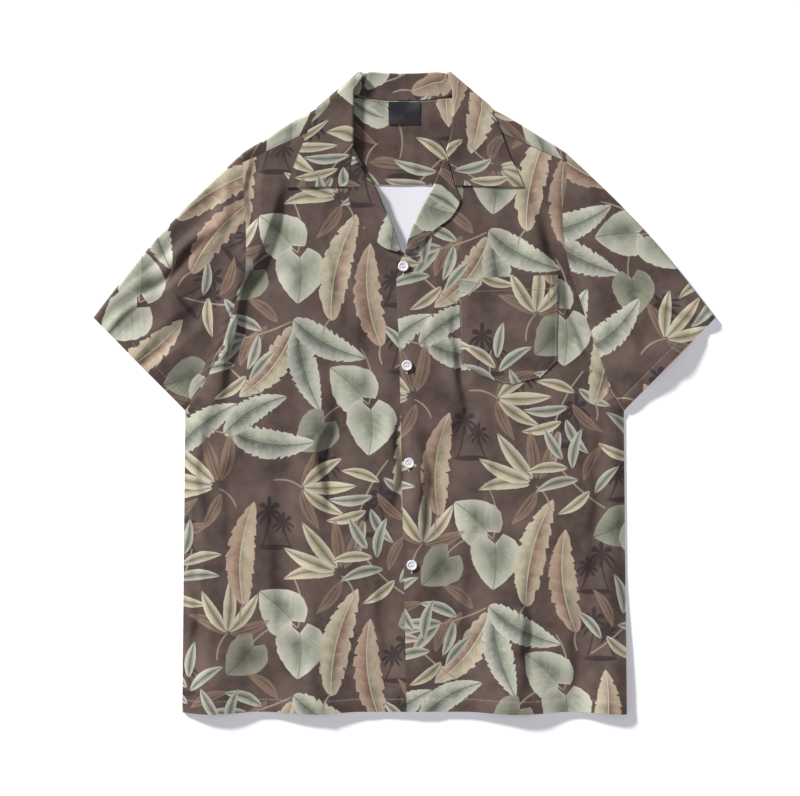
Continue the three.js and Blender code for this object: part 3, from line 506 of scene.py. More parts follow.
# Bouquets: kind, x, y, heading in degrees, length, half width, bend.
BOUQUETS = {
    "hearts": [
        ("stem", -28, 64, -62, 68, 1.0, 0.12),
        ("stem", 3, 4, 160, 14, 0.9, 0),
        ("heart_shade", -40, -34, -112, 47, 25, 0.07),
        ("stem", -42, -34, 50, 50, 0.9, 0.1),
        ("heart", -6, 8, 156, 53, 28, -0.05),
        ("heart", 6, -2, -70, 55, 30, 0.07),
    ],
    "hearts_pair": [
        ("stem", 32, 54, -118, 60, 1.0, -0.14),
        ("heart_shade", -8, 2, 205, 46, 25, 0.05),
        ("heart", 6, -2, -58, 54, 29, -0.07),
    ],
    "spray": [
        ("banana", 0, 4, 118, 106, 18, -0.09),
        ("lance_brown", -32, 8, 112, 46, 6.2, 0.05),
        ("stem", -4, -2, 152, 68, 1.0, -0.04),
        ("lance_sage", -56, 27, 122, 50, 7.0, 0.05),
        ("lance_sage", -40, 21, 98, 44, 6.4, -0.05),
        ("lance_sage", -54, 25, 172, 46, 7.0, -0.05),
        ("lance_sage", -37, 15, 190, 48, 6.8, 0.07),
        ("lance_brown", -20, 2, 208, 48, 6.8, 0.07),
        ("serrated", 4, 6, 64, 102, 18, 0.05),
        ("serrated", -2, -4, 18, 98, 18, 0.07),
    ],
    "fan": [
        ("lance_brown", 2, -6, -128, 50, 7.0, 0.05),
        ("lance_cream", -7, 2, 186, 62, 8.0, -0.09),
        ("lance_cream", -6, 6, 156, 68, 8.6, 0.05),
        ("lance_cream", -3, 9, 128, 70, 8.6, 0.03),
        ("lance_brown", 1, 10, 98, 60, 7.4, 0.00),
        ("lance_brown", 5, 9, 70, 62, 8.0, -0.05),
        ("stem", 1, 0, -58, 30, 1.0, 0.12),
    ],
    "plume": [
        ("banana", 0, 0, 84, 132, 19, -0.07),
        ("stem", 1, 2, -84, 22, 1.0, 0.1),
    ],
    "plume_turned": [
        ("banana_turned", 0, 0, 84, 124, 18, 0.08),
        ("stem", 0, 2, -98, 24, 1.0, -0.1),
    ],
    "sprig": [
        ("stem", 0, -42, 96, 88, 1.0, 0.06),
        ("lance_sage", -2, 36, 80, 44, 6.2, 0.04),
        ("lance_cream", -4, 24, 146, 50, 6.4, -0.07),
        ("lance_sage", 0, 20, 36, 50, 6.4, 0.08),
        ("lance_sage", -3, 5, 156, 54, 6.6, -0.07),
        ("lance_brown", 1, 0, 22, 50, 6.0, 0.08),
        ("lance_cream", -1, -14, 176, 48, 6.2, 0.07),
        ("lance_sage", 2, -20, 8, 44, 5.8, 0.06),
    ],
    "blade": [
        ("serrated", 0, 0, 18, 104, 19, -0.09),
        ("serrated", -4, -6, 56, 88, 16, 0.09),
        ("stem", 2, 0, 196, 22, 1.0, 0.1),
    ],
    "star": [
        ("lance_brown", 2, 0, 12, 50, 6.8, 0.06),
        ("lance_brown", -2, 1, 146, 52, 7.0, 0.05),
        ("lance_cream", 2, 2, 44, 58, 7.6, -0.05),
        ("lance_cream", -1, 3, 112, 58, 7.4, 0.05),
        ("lance_cream", 1, 3, 78, 64, 7.8, 0.02),
        ("stem", 0, 2, -84, 36, 1.0, 0.12),
    ],
}
print(len(KINDS), "kinds of leaf in", len(BOUQUETS), "bouquets")

# %% [markdown]
# The bouquets are tossed over the repeat, turned and mirrored, as a textile designer would lay them
# out, so that few lie over each other. The layout is this script's own, in the original's scale.

# %% The layout of the repeat
REPEAT = (410.0, 450.0)  # the repeat's width and height, with a half drop from one column to the next
PLACES = [  # bouquet, x, y, turn, hand
    ("sprig", 376, 105, 160, -1),
    ("fan", 106, 58, -60, 1),
    ("sprig", 153, 298, 0, 1),
    ("sprig", 16, 63, -40, -1),
    ("star", 286, 111, -100, -1),
    ("sprig", 47, 277, -20, 1),
    ("spray", 133, 156, 20, 1),
    ("spray", 278, 308, 170, -1),
    ("hearts", 362, 209, -20, 1),
    ("hearts", 277, 391, -20, 1),
    ("blade", 200, 179, -25, 1),
    ("plume", 322, 312, -20, -1),
    ("plume_turned", 382, 281, 12, 1),
    ("plume", 403, 105, 0, 1),
    ("fan", 187, 110, 10, 1),
    ("fan", 61, 377, 150, 1),
    ("hearts_pair", 42, 188, 0, 1),
    ("hearts_pair", 76, 437, 40, 1),
    ("fan", 333, 6, 0, 1),
    ("sprig", 131, 448, -20, -1),
    ("sprig", 390, 12, 40, 1),
    ("star", 198, 386, -15, -1),
    ("sprig", 212, 257, 40, 1),
    ("plume_turned", 217, 421, 0, 1),
]
PALMS = [  # x, y, hand
    (0, 25, 1), (30, 215, -1), (60, 70, 1), (95, 255, -1), (140, 315, 1), (255, 40, 1), (310, 95, -1),
    (375, 55, -1), (140, 35, 1), (405, 330, -1),
]


def leaf_rows():
    """Every leaf of the repeat as kind, x, y, heading, length, half width, bend."""
    rows = []
    for name, place_x, place_y, turn, hand in PLACES:
        c, s = math.cos(math.radians(turn)), math.sin(math.radians(turn))
        for kind, x, y, heading, length, half, bend in BOUQUETS[name]:
            if hand < 0:
                x, heading, bend = -x, 180 - heading, -bend
            at = (place_x + c * x - s * y, place_y + s * x + c * y)
            rows.append((KINDS.index(kind), *at, heading + turn, length, half, bend))
    return np.array(rows, float)


LEAVES = leaf_rows()
print(len(LEAVES), "leaves and", len(PALMS), "palms in the repeat")

# %% [markdown]
# Where a point lies in a leaf is a matter of two shares: along its bent midrib, and across it. The
# same two shares choose the faces that a leaf touches here, and draw its edge and veins later.

# %% Formulas of a leaf
def nearest_copy(dx, dy):
    """How far to move a point so that it meets the nearest copy of the repeat, half drop and all."""
    across = np.round(dx / REPEAT[0])
    down = dy - across * REPEAT[1] / 2
    return -across * REPEAT[0], -across * REPEAT[1] / 2 - np.round(down / REPEAT[1]) * REPEAT[1]


def blade_half_width(kind, s):
    """Half width of a blade at a share of its length: s to the rise, times 1 - s to the fall."""
    rise, fall = BLADES[KINDS[int(kind)]][:2]
    top = rise / (rise + fall)
    s = np.clip(s, 0, 1)
    return s**rise * (1 - s) ** fall / (top**rise * (1 - top) ** fall)


def leaf_place(row, dx, dy):
    """Share along a leaf and share across it, for points given from its start."""
    kind, _, _, heading, length, half, bend = row
    c, s = np.cos(np.radians(heading)), np.sin(np.radians(heading))
    along = (dx * c + dy * s) / length
    along = np.where(kind < 2, along * (1 - HEART_BACK) + HEART_BACK, along)
    inside = np.clip(along, 0, 1)
    across = dy * c - dx * s - bend * length * 4 * inside * (1 - inside)
    return along, across / half


def leaf_depth(row, dx, dy):
    """How deep a point lies in a leaf, in mm. It is negative outside, and in the notch of a heart."""
    s, t = leaf_place(row, dx, dy)
    across = (blade_half_width(row[0], s) - np.abs(t)) * row[5]
    depth = np.minimum(across, np.minimum(s, 1 - s) * row[4])
    notch = BLADES[KINDS[int(row[0])]][4]
    if not notch:
        return depth
    return np.minimum(depth, (s / HEART_BACK - 1 + notch * np.abs(t)) * row[5])


print("drawn by formula:", ", ".join(KINDS))

# %% [markdown]
# A printed piece carries its print as numbers on its face corners: for each leaf that shows on a face,
# the place of the corner along and across that leaf. The material draws the leaf from them. Each
# panel was cut from another part of the cloth, so each has an offset and turn of its own.

# %% Print numbers on a mesh
LEAVES_DEEP = 4  # leaves that may lie over each other on one face
FACE_REACH = 3.2  # how far from its centre a face may still show a leaf
PAINT_OPACITY = {"lance_brown": 0.72, "heart_shade": 0.94}


def leaves_shown(centre, printed):
    """For each face, the leaves that it shows, the topmost last, with -1 for none."""
    shown = np.full((len(centre), LEAVES_DEEP), -1)
    for number, row in enumerate(LEAVES):
        dx, dy = centre[:, 0] - row[1], centre[:, 1] - row[2]
        mx, my = nearest_copy(dx, dy)
        depth = leaf_depth(row, dx + mx, dy + my)
        if KINDS[int(row[0])] not in PAINT_OPACITY:
            shown[(depth > FACE_REACH) & printed] = -1
        touched = (depth > -FACE_REACH) & printed
        shown[touched] = np.roll(shown[touched], -1, axis=1)
        shown[touched, -1] = number
    return shown


def put_attribute(mesh, name, values):
    """Stores three numbers for each face corner."""
    attribute = mesh.attributes.new(name, "FLOAT_VECTOR", "CORNER")
    attribute.data.foreach_set("vector", values.astype(np.float32).ravel())


def print_attributes(mesh, corners, printed):
    """Stores the leaf and palm numbers of the printed faces. corners are (faces, 4, 2), in mm."""
    centre = corners.mean(axis=1)
    shown = leaves_shown(centre, printed)
    for level in range(LEAVES_DEEP):
        number = shown[:, level]
        row = LEAVES[number].T
        mx, my = nearest_copy(centre[:, 0] - row[1], centre[:, 1] - row[2])
        row = row[..., None]
        dx, dy = corners[..., 0] - row[1] + mx[:, None], corners[..., 1] - row[2] + my[:, None]
        s, t = leaf_place(row, dx, dy)
        leaf = np.stack([s, t, row[0] + 0 * s], axis=2)
        leaf[number < 0] = (-1, 0, 0)
        size = np.stack([row[4] + 0 * s, row[5] + 0 * s, (number * 0.37 % 1)[:, None] + 0 * s], axis=2)
        put_attribute(mesh, f"leaf_{level}", leaf)
        put_attribute(mesh, f"size_{level}", size)
    palm = np.full((len(corners), 4, 3), 1e3)
    best = np.full(len(corners), 1e9)
    for x, y, hand in PALMS:
        dx, dy = centre[:, 0] - x, centre[:, 1] - y
        mx, my = nearest_copy(dx, dy)
        away = np.maximum(np.abs(dx + mx), np.abs(dy + my - 24))
        chosen = np.flatnonzero((away < best) & (away < 60) & printed)
        best[chosen] = away[chosen]
        cx = (corners[chosen, :, 0] - x + mx[chosen, None]) * hand
        cy = corners[chosen, :, 1] - y + my[chosen, None]
        palm[chosen] = np.stack([cx, cy, np.zeros_like(cx)], axis=2)
    put_attribute(mesh, "palm", palm)
    put_attribute(mesh, "cloth", np.dstack([corners, np.zeros((len(corners), 4, 1))]))


def on_cloth(u, v, turn, offset):
    """Where a piece's own coordinates fall on the printed cloth."""
    c, s = math.cos(math.radians(turn)), math.sin(math.radians(turn))
    return np.stack([u * c - v * s + offset[0], u * s + v * c + offset[1]], axis=-1)


print("up to", LEAVES_DEEP, "leaves over each other on a face")

# %% [markdown]
# A layer of cloth is a thin closed shell: an outer grid of points, an inner one, and a rim that joins
# them. The back, fronts, sleeves and yoke show the cloth's white reverse inside, as a printed rayon
# does; the collar, revers and pocket are printed both ways.


# %% Shells
def normals_of(grid, ring):
    """Unit normals of a grid of points, from the way along its rows and its columns."""
    down = np.gradient(grid, axis=0)
    if ring:
        across = np.roll(grid, -1, axis=1) - np.roll(grid, 1, axis=1)
    else:
        across = np.gradient(grid, axis=1)
    normal = np.cross(across, down)
    return normal / np.maximum(np.linalg.norm(normal, axis=2, keepdims=True), 1e-9)


def grid_faces(rows, columns, spans, flip):
    """Corner numbers (faces, 4) of a grid's quads. A ring has as many spans as columns."""
    r, c = np.meshgrid(np.arange(rows - 1), np.arange(spans), indexing="ij")
    r, c, d = r.ravel(), c.ravel(), (c.ravel() + 1) % columns
    quads = np.stack([r * columns + c, r * columns + d, (r + 1) * columns + d, (r + 1) * columns + c], 1)
    return quads[:, ::-1] if flip else quads


def make_mesh(name, points, quads, slots, materials):
    """A smooth mesh object in metres from points in millimetres, all its faces quads."""
    mesh = bpy.data.meshes.new(name)
    mesh.vertices.add(len(points))
    mesh.vertices.foreach_set("co", (points * MM).astype(np.float32).ravel())
    mesh.loops.add(4 * len(quads))
    mesh.loops.foreach_set("vertex_index", quads.astype(np.int32).ravel())
    mesh.polygons.add(len(quads))
    mesh.polygons.foreach_set("loop_start", np.arange(0, 4 * len(quads), 4, dtype=np.int32))
    mesh.polygons.foreach_set("material_index", slots.astype(np.int32))
    mesh.update(calc_edges=True)
    for material in materials:
        mesh.materials.append(material)
    mesh.shade_smooth()
    mesh.set_sharp_from_angle(angle=math.radians(50))
    thing = bpy.data.objects.new(name, mesh)
    bpy.context.scene.collection.objects.link(thing)
    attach(thing, "root")
    return thing


def shell(name, outer, inner, cloth, ring=False, reverse=True):
    """A thin closed body between an outer grid of points and an inner one.
    cloth is the grid's place on the printed cloth, with one column more than a ring's grid has."""
    rows, columns = outer.shape[:2]
    spans = columns if ring else columns - 1
    points = np.concatenate([outer.reshape(-1, 3), inner.reshape(-1, 3)])
    places = np.concatenate([cloth.reshape(-1, 2)] * 2)

    def faces_of(width, turn):
        """The outer and inner faces and both kinds of rim, for points or for places on the cloth."""
        size = rows * width
        outside = grid_faces(rows, width, spans, False)
        inside = grid_faces(rows, width, spans, True) + size
        c = np.arange(spans)
        d = (c + 1) % width if turn else c + 1
        last = (rows - 1) * width
        foot = np.stack([c + size, d + size, d, c], 1)
        head = np.stack([c + last, d + last, d + last + size, c + last + size], 1)
        parts = [outside, inside, foot, head]
        if not ring:
            r = np.arange(rows - 1) * width
            e = r + width - 1
            parts.append(np.stack([r, r + width, r + width + size, r + size], 1))
            parts.append(np.stack([e + size, e + size + width, e + width, e], 1))
        return np.concatenate(parts), [len(part) for part in parts]

    quads, sizes = faces_of(columns, ring)
    places_of, _ = faces_of(spans + 1, False)
    a, b, c, d = (points[quads[:, k]] for k in range(4))
    volume = np.einsum("ij,ij->i", a, np.cross(b, c)).sum() + np.einsum("ij,ij->i", a, np.cross(c, d)).sum()
    if volume < 0:
        quads = quads[:, ::-1]
        places_of = places_of[:, ::-1]
    slots = np.zeros(len(quads), int)
    if reverse:
        slots[sizes[0] : sizes[0] + sizes[1]] = 1
    materials = [printed_cloth, white_reverse] if reverse else [printed_cloth]
    thing = make_mesh(name, points, quads, slots, materials)
    print_attributes(thing.data, places[places_of], slots == 0)
    down, across = np.diff(outer, axis=0)[:, :-1], np.diff(outer, axis=1)[:-1]
    area = np.linalg.norm(np.cross(down, across), axis=2).sum() * MM * MM
    print(f"{name}: {2 * len(quads)} triangles, {area:.4f} square metres")
    return thing


# %% [markdown]
# Materials. The ground and the leaves are pigment on a matt viscose twill, so nothing shines: high
# roughness and a faint sheen. One leaf group is used for every layer; it draws the blade, its teeth,
# midrib and veins from the numbers on the mesh, and mottles them as brushed paint would.

# %% Node helpers and colours
PAINT = {  # near half, far half, midrib, rim, all as printed
    "heart": ("#9FA391", "#868A7A", "#6B6E5B", "#C7C5B6"),
    "heart_shade": ("#7A7D6A", "#696C5E", "#58594C", "#9C9B8C"),
    "banana": ("#ABA38B", "#987C6B", "#CCC3AE", "#C6BAA3"),
    "banana_turned": ("#907564", "#A49A83", "#C6B9A3", "#B79F8D"),
    "serrated": ("#989D8B", "#7A7F75", "#585B4C", "#CAC8BA"),
    "lance_cream": ("#ADA389", "#938973", "#706556", "#D0C8B4"),
    "lance_sage": ("#989B8A", "#7D8075", "#5E6056", "#C6C4B7"),
    "lance_brown": ("#796254", "#665349", "#9E8977", "#957E6B"),
    "stem": ("#9B8D7C", "#9B8D7C", "#9B8D7C", "#9B8D7C"),
}


def linear(code, alpha=1.0):
    """An sRGB hex colour as the linear values that a socket holds."""
    parts = [int(code[k : k + 2], 16) / 255 for k in (1, 3, 5)]
    return (*[p / 12.92 if p <= 0.04045 else ((p + 0.055) / 1.055) ** 2.4 for p in parts], alpha)


def add(tree, kind, *values, named=(), **settings):
    """Adds a node, gives its settings, then fills its sockets in order and by name."""
    node = tree.nodes.new("ShaderNode" + kind)
    for key, value in settings.items():
        setattr(node, key, value)
    sockets = [socket for socket in node.inputs if socket.enabled]
    filled = [(sockets[i], value) for i, value in enumerate(values) if value is not None]
    filled += [(node.inputs[key], value) for key, value in dict(named).items()]
    for socket, value in filled:
        if isinstance(value, bpy.types.Node):
            value = next(out for out in value.outputs if out.enabled)
        if isinstance(value, bpy.types.NodeSocket):
            tree.links.new(value, socket)
        else:
            socket.default_value = value
    return node


def set_stops(ramp, colours):
    """Gives a ramp one flat band of equal width for each colour."""
    elements = ramp.color_ramp.elements
    ramp.color_ramp.interpolation = "CONSTANT"
    elements[0].position = 0
    elements[0].color = colours[0]
    elements[1].position = 1 / len(colours)
    elements[1].color = colours[1]
    for k in range(2, len(colours)):
        elements.new(k / len(colours)).color = colours[k]


def leaf_group():
    """The node group that paints one layer of leaves over a colour."""
    tree = bpy.data.node_groups.new("leaf_layer", "ShaderNodeTree")
    for name, kind in (("leaf", "Vector"), ("size", "Vector"), ("cloth", "Vector"), ("below", "Color")):
        tree.interface.new_socket(name=name, in_out="INPUT", socket_type="NodeSocket" + kind)
    tree.interface.new_socket(name="colour", in_out="OUTPUT", socket_type="NodeSocketColor")
    start = tree.nodes.new("NodeGroupInput")
    leaf = add(tree, "SeparateXYZ", start.outputs["leaf"])
    size = add(tree, "SeparateXYZ", start.outputs["size"])
    along, across, kind = leaf.outputs
    length, half, seed = size.outputs
    band = add(tree, "Math", kind, 1 / len(KINDS), 0.5 / len(KINDS), operation="MULTIPLY_ADD")

    shapes, edges = [], []
    for name in KINDS:
        rise, fall, teeth, depth, notch = BLADES[name]
        top = rise / (rise + fall)
        shapes.append((rise, fall / 2, depth, 1 / (top**rise * (1 - top) ** fall) / 4))
        edges.append((teeth / 16, notch / 4, 1.0 if teeth else 0.5, PAINT_OPACITY.get(name, 1.0)))
    shape = add(tree, "ValToRGB", band)
    set_stops(shape, shapes)
    edge = add(tree, "ValToRGB", band)
    set_stops(edge, edges)
    rise, fall, depth = add(tree, "SeparateColor", shape.outputs["Color"]).outputs
    fall = add(tree, "Math", fall, 2.0, operation="MULTIPLY")
    teeth, notch, veined = add(tree, "SeparateColor", edge.outputs["Color"]).outputs
    notch = add(tree, "Math", notch, 4.0, operation="MULTIPLY")

    # The blade's edge, unsteady as a brushed line
    cloth = start.outputs["cloth"]
    moved = add(tree, "VectorMath", cloth, add(tree, "CombineXYZ", seed, seed, seed), operation="ADD")
    wobble = add(tree, "TexNoise", moved, named={"Scale": 0.11, "Detail": 3.0})
    width = add(tree, "Math", add(tree, "Math", wobble, 0.5, operation="SUBTRACT"), 0.22, 1.0,
                operation="MULTIPLY_ADD")
    share = add(tree, "Clamp", along, 0.001, 0.999)
    rest = add(tree, "Math", 1.0, share, operation="SUBTRACT")
    swell = add(tree, "Math", add(tree, "Math", share, rise, operation="POWER"),
                add(tree, "Math", rest, fall, operation="POWER"), operation="MULTIPLY")
    swell = add(tree, "Math", swell, add(tree, "Math", shape.outputs["Alpha"], 4.0, operation="MULTIPLY"),
                operation="MULTIPLY")
    swell = add(tree, "Math", swell, width, operation="MULTIPLY")
    side = add(tree, "Math", across, operation="ABSOLUTE")
    count = add(tree, "Math", teeth, 16.0, operation="MULTIPLY")
    lean = add(tree, "Math", side, -0.55, add(tree, "Math", share, count, operation="MULTIPLY"),
               operation="MULTIPLY_ADD")
    uneven = add(tree, "MapRange", wobble, 0.38, 0.62, 0.05, 1.7)
    saw = add(tree, "Math", add(tree, "Math", lean, operation="FRACT"), depth, operation="MULTIPLY")
    saw = add(tree, "Math", saw, uneven, operation="MULTIPLY")
    bite = add(tree, "Math", 1.0, saw, operation="SUBTRACT")
    margin = add(tree, "Math", add(tree, "Math", swell, bite, operation="MULTIPLY"), side,
                 operation="SUBTRACT")
    margin = add(tree, "Math", margin, half, operation="MULTIPLY")
    ends = add(tree, "Math", add(tree, "Math", along, add(tree, "Math", 1.0, along, operation="SUBTRACT"),
                                 operation="MINIMUM"), length, operation="MULTIPLY")
    inside = add(tree, "Math", margin, ends, operation="MINIMUM")
    behind = add(tree, "Math", along, 1 / HEART_BACK, -1.0, operation="MULTIPLY_ADD")
    cut = add(tree, "Math", notch, side, behind, operation="MULTIPLY_ADD")
    whole = add(tree, "Math", add(tree, "Math", notch, 0.05, operation="LESS_THAN"), 100.0,
                add(tree, "Math", cut, half, operation="MULTIPLY"), operation="MULTIPLY_ADD")
    inside = add(tree, "Math", inside, whole, operation="MINIMUM")
    alpha = add(tree, "MapRange", inside, -0.35, 0.35, 0.0, 1.0)
    alpha = add(tree, "Math", alpha, edge.outputs["Alpha"], operation="MULTIPLY")

    # Veins run forward from the midrib, and the brush strokes run along them
    pairs = add(tree, "Math", length, 7.5, operation="DIVIDE")
    phase = add(tree, "Math", add(tree, "Math", side, -0.34, share, operation="MULTIPLY_ADD"), pairs,
                operation="MULTIPLY")
    off_rib = add(tree, "Math", side, half, operation="MULTIPLY")
    stroke = add(tree, "CombineXYZ", add(tree, "Math", phase, 3.4, operation="MULTIPLY"),
                 add(tree, "Math", across, 0.9, operation="MULTIPLY"),
                 add(tree, "Math", seed, 40.0, operation="MULTIPLY"))
    stroke = add(tree, "TexNoise", stroke, named={"Scale": 1.0, "Detail": 3.0, "Roughness": 0.6})
    stroke = add(tree, "MapRange", stroke, 0.32, 0.68, 0.86, 1.12)
    phase = add(tree, "Math", add(tree, "Math", phase, operation="FRACT"), 0.5, operation="SUBTRACT")
    apart = add(tree, "Math", add(tree, "Math", phase, operation="ABSOLUTE"), 6.0, operation="MULTIPLY")
    vein = add(tree, "MapRange", apart, 0.1, 1.3, 0.2, 0.0)
    vein = add(tree, "Math", vein, veined, operation="MULTIPLY")

    # Paint: two halves, shaded along the midrib and by the stalk, mottled, with a pale rim
    paints = []
    for column in range(4):
        ramp = add(tree, "ValToRGB", band)
        set_stops(ramp, [linear(PAINT[name][column]) for name in KINDS])
        paints.append(ramp)
    which = add(tree, "MapRange", across, -0.07, 0.07, 0.0, 1.0)
    paint = add(tree, "Mix", which, paints[1], paints[0], data_type="RGBA")
    broad = add(tree, "TexNoise", moved, named={"Scale": 0.055, "Detail": 4.0, "Roughness": 0.6})
    tone = add(tree, "MapRange", broad, 0.3, 0.7, 0.70, 1.28)
    stalk = add(tree, "MapRange", share, 0.02, 0.5, 0.66, 1.06)
    middle = add(tree, "MapRange", side, 0.0, 0.42, 0.76, 1.06)
    own = add(tree, "MapRange", seed, 0.0, 1.0, 0.86, 1.12)
    lined = add(tree, "Math", 1.0, vein, operation="SUBTRACT")
    for shade in (stroke, stalk, middle, own, lined):
        tone = add(tree, "Math", tone, shade, operation="MULTIPLY")
    rib = add(tree, "MapRange", off_rib, 0.25, 0.9, 0.8, 0.0)
    rim = add(tree, "MapRange", add(tree, "Math", inside, half, operation="DIVIDE"), 0.0, 0.7, 0.8, 0.0)
    paint = add(tree, "VectorMath", paint, operation="SCALE", named={"Scale": tone})
    paint = add(tree, "Mix", rim, paint, paints[3], data_type="RGBA")
    paint = add(tree, "Mix", rib, paint, paints[2], data_type="RGBA")
    result = add(tree, "Mix", alpha, start.outputs["below"], paint, data_type="RGBA")
    finish = tree.nodes.new("NodeGroupOutput")
    tree.links.new(next(out for out in result.outputs if out.enabled), finish.inputs["colour"])
    return tree


def palm_mask(tree, palm):
    """How much of the palm islet's plum shows: two crowns, two leaning trunks and a low bank."""
    x, y, _ = add(tree, "SeparateXYZ", palm).outputs
    found = None
    for crown_x, crown_y, reach, lean in ((-7.0, 45.0, 17.0, 0.0045), (10.0, 30.0, 13.0, -0.010)):
        dx = add(tree, "Math", x, crown_x, operation="SUBTRACT")
        dy = add(tree, "Math", y, crown_y, operation="SUBTRACT")
        droop = add(tree, "Math", add(tree, "Math", dx, dx, operation="MULTIPLY"), 1 / 26, dy,
                    operation="MULTIPLY_ADD")
        turn = add(tree, "Math", droop, dx, operation="ARCTAN2")
        frond = add(tree, "Math", add(tree, "Math", add(tree, "Math", turn, 4.0, operation="MULTIPLY"),
                                      operation="COSINE"), operation="ABSOLUTE")
        frond = add(tree, "Math", frond, 0.82, 0.18, operation="MULTIPLY_ADD")
        away = add(tree, "Math", add(tree, "Math", dx, dx, operation="MULTIPLY"),
                   add(tree, "Math", droop, droop, operation="MULTIPLY"), operation="ADD")
        away = add(tree, "Math", away, 0.5, operation="POWER")
        crown = add(tree, "Math", add(tree, "Math", frond, reach, operation="MULTIPLY"), away,
                    operation="SUBTRACT")
        bow = add(tree, "Math", add(tree, "Math", dy, dy, operation="MULTIPLY"), lean, dx,
                  operation="MULTIPLY_ADD")
        trunk = add(tree, "Math", 1.1, add(tree, "Math", bow, operation="ABSOLUTE"), operation="SUBTRACT")
        below = add(tree, "Math", dy, -1.0, operation="MULTIPLY")
        above = add(tree, "Math", y, 1.0, operation="ADD")
        trunk = add(tree, "Math", add(tree, "Math", trunk, below, operation="MINIMUM"), above,
                    operation="MINIMUM")
        tree_shape = add(tree, "Math", crown, trunk, operation="MAXIMUM")
        found = tree_shape if found is None else add(tree, "Math", found, tree_shape, operation="MAXIMUM")
    wide = add(tree, "Math", add(tree, "Math", x, 20.0, operation="DIVIDE"), 2.0, operation="POWER")
    tall = add(tree, "Math", add(tree, "Math", y, 3.4, operation="DIVIDE"), 2.0, operation="POWER")
    bank = add(tree, "Math", add(tree, "Math", 1.0, wide, operation="SUBTRACT"), tall, operation="SUBTRACT")
    bank = add(tree, "Math", bank, 3.0, operation="MULTIPLY")
    found = add(tree, "Math", found, bank, operation="MAXIMUM")
    return add(tree, "MapRange", found, -0.8, 0.9, 0.0, 0.82)


def new_material(name, colour, roughness, **sockets):
    """A material with a principled shader whose plain sockets are set, and its tree and shader."""
    material = bpy.data.materials.new(name)
    material.use_nodes = True
    shader = material.node_tree.nodes["Principled BSDF"]
    shader.inputs["Base Color"].default_value = linear(colour)
    shader.inputs["Roughness"].default_value = roughness
    for key, value in sockets.items():
        shader.inputs[key.replace("_", " ")].default_value = value
    return material, material.node_tree, shader


# %% [markdown]
# Reactive dyes sink into viscose, so the print has no film of its own: the ground, its wash, the
# palms and the leaves only change the colour, and the satin sheen over them is the cloth's. Each
# leaf layer is one use of the same group, and the last layer lies on top.

# %% The printed viscose
LEAF_LAYER = leaf_group()
printed_cloth, tree, shader = new_material(
    "printed_viscose", "#5E4C45", 0.72, Sheen_Weight=0.22, Sheen_Roughness=0.5, Specular_IOR_Level=0.25
)
shader.inputs["Sheen Tint"].default_value = linear("#D8CFC8")
cloth = add(tree, "Attribute", attribute_name="cloth").outputs["Vector"]
wash = add(tree, "TexNoise", cloth, named={"Scale": 0.02, "Detail": 5.0, "Roughness": 0.62})
wash = add(tree, "MapRange", wash, 0.36, 0.66, 0.0, 1.0)
ground = add(tree, "Mix", wash, linear("#493B36"), linear("#6A5852"), data_type="RGBA")
palm = add(tree, "Attribute", attribute_name="palm").outputs["Vector"]
painted = add(tree, "Mix", palm_mask(tree, palm), ground, linear("#33282C"), data_type="RGBA")
for level in range(LEAVES_DEEP):
    leaf = add(tree, "Attribute", attribute_name=f"leaf_{level}").outputs["Vector"]
    size = add(tree, "Attribute", attribute_name=f"size_{level}").outputs["Vector"]
    painted = add(tree, "Group", leaf, size, cloth, painted, node_tree=LEAF_LAYER)
tree.links.new(painted.outputs["colour"], shader.inputs["Base Color"])
# The real twill is about 0.3 mm; it is drawn as coarse as a close view can hold.
weave = add(tree, "TexNoise", cloth, named={"Scale": 1.1, "Detail": 3.0, "Roughness": 0.7})
bump = add(tree, "Bump", named={"Strength": 0.25, "Distance": 0.0002, "Height": weave.outputs[0]})
tree.links.new(bump.outputs["Normal"], shader.inputs["Normal"])

# %% [markdown]
# The reverse is undyed viscose, the label a black satin weave, the buttons cast resin with a pearly
# bloom, and the stitching a pale polyester thread.

# %% Reverse, label, resin and thread
# The thin white cloth lets light through: a faint painted glow of its own stands for that light and lightens
# the shade that falls on it.
white_reverse, tree, shader = new_material(
    "viscose_reverse", "#DADAE2", 0.8, Sheen_Weight=0.2, Specular_IOR_Level=0.25, Emission_Strength=0.1
)
place = add(tree, "TexCoord").outputs["Object"]
weave = add(tree, "TexNoise", place, named={"Scale": 900.0, "Detail": 3.0})
bump = add(tree, "Bump", named={"Strength": 0.2, "Distance": 0.0002, "Height": weave.outputs[0]})
tree.links.new(bump.outputs["Normal"], shader.inputs["Normal"])

label_satin, tree, shader = new_material(
    "label_satin", "#1A1822", 0.45, Sheen_Weight=0.3, Specular_IOR_Level=0.5, Anisotropic=0.5
)
place = add(tree, "TexCoord").outputs["Object"]
ribs = add(tree, "TexWave", place, bands_direction="Y", named={"Scale": 260.0, "Distortion": 0.4})
bump = add(tree, "Bump", named={"Strength": 0.3, "Distance": 0.0002, "Height": ribs.outputs[1]})
tree.links.new(bump.outputs["Normal"], shader.inputs["Normal"])

button_resin, tree, shader = new_material(
    "button_resin", "#ECEAEE", 0.22, Coat_Weight=0.5, Coat_Roughness=0.1, Subsurface_Weight=0.15
)
shader.inputs["Subsurface Radius"].default_value = (0.002, 0.0018, 0.002)
place = add(tree, "TexCoord").outputs["Object"]
bloom = add(tree, "TexNoise", place, named={"Scale": 160.0, "Detail": 2.0, "Distortion": 1.2})
bloom = add(tree, "MapRange", bloom, 0.35, 0.65, 0.0, 1.0)
pearl = add(tree, "Mix", bloom, linear("#DAD8E2"), linear("#F4F2F4"), data_type="RGBA")
tree.links.new(pearl.outputs[2], shader.inputs["Base Color"])

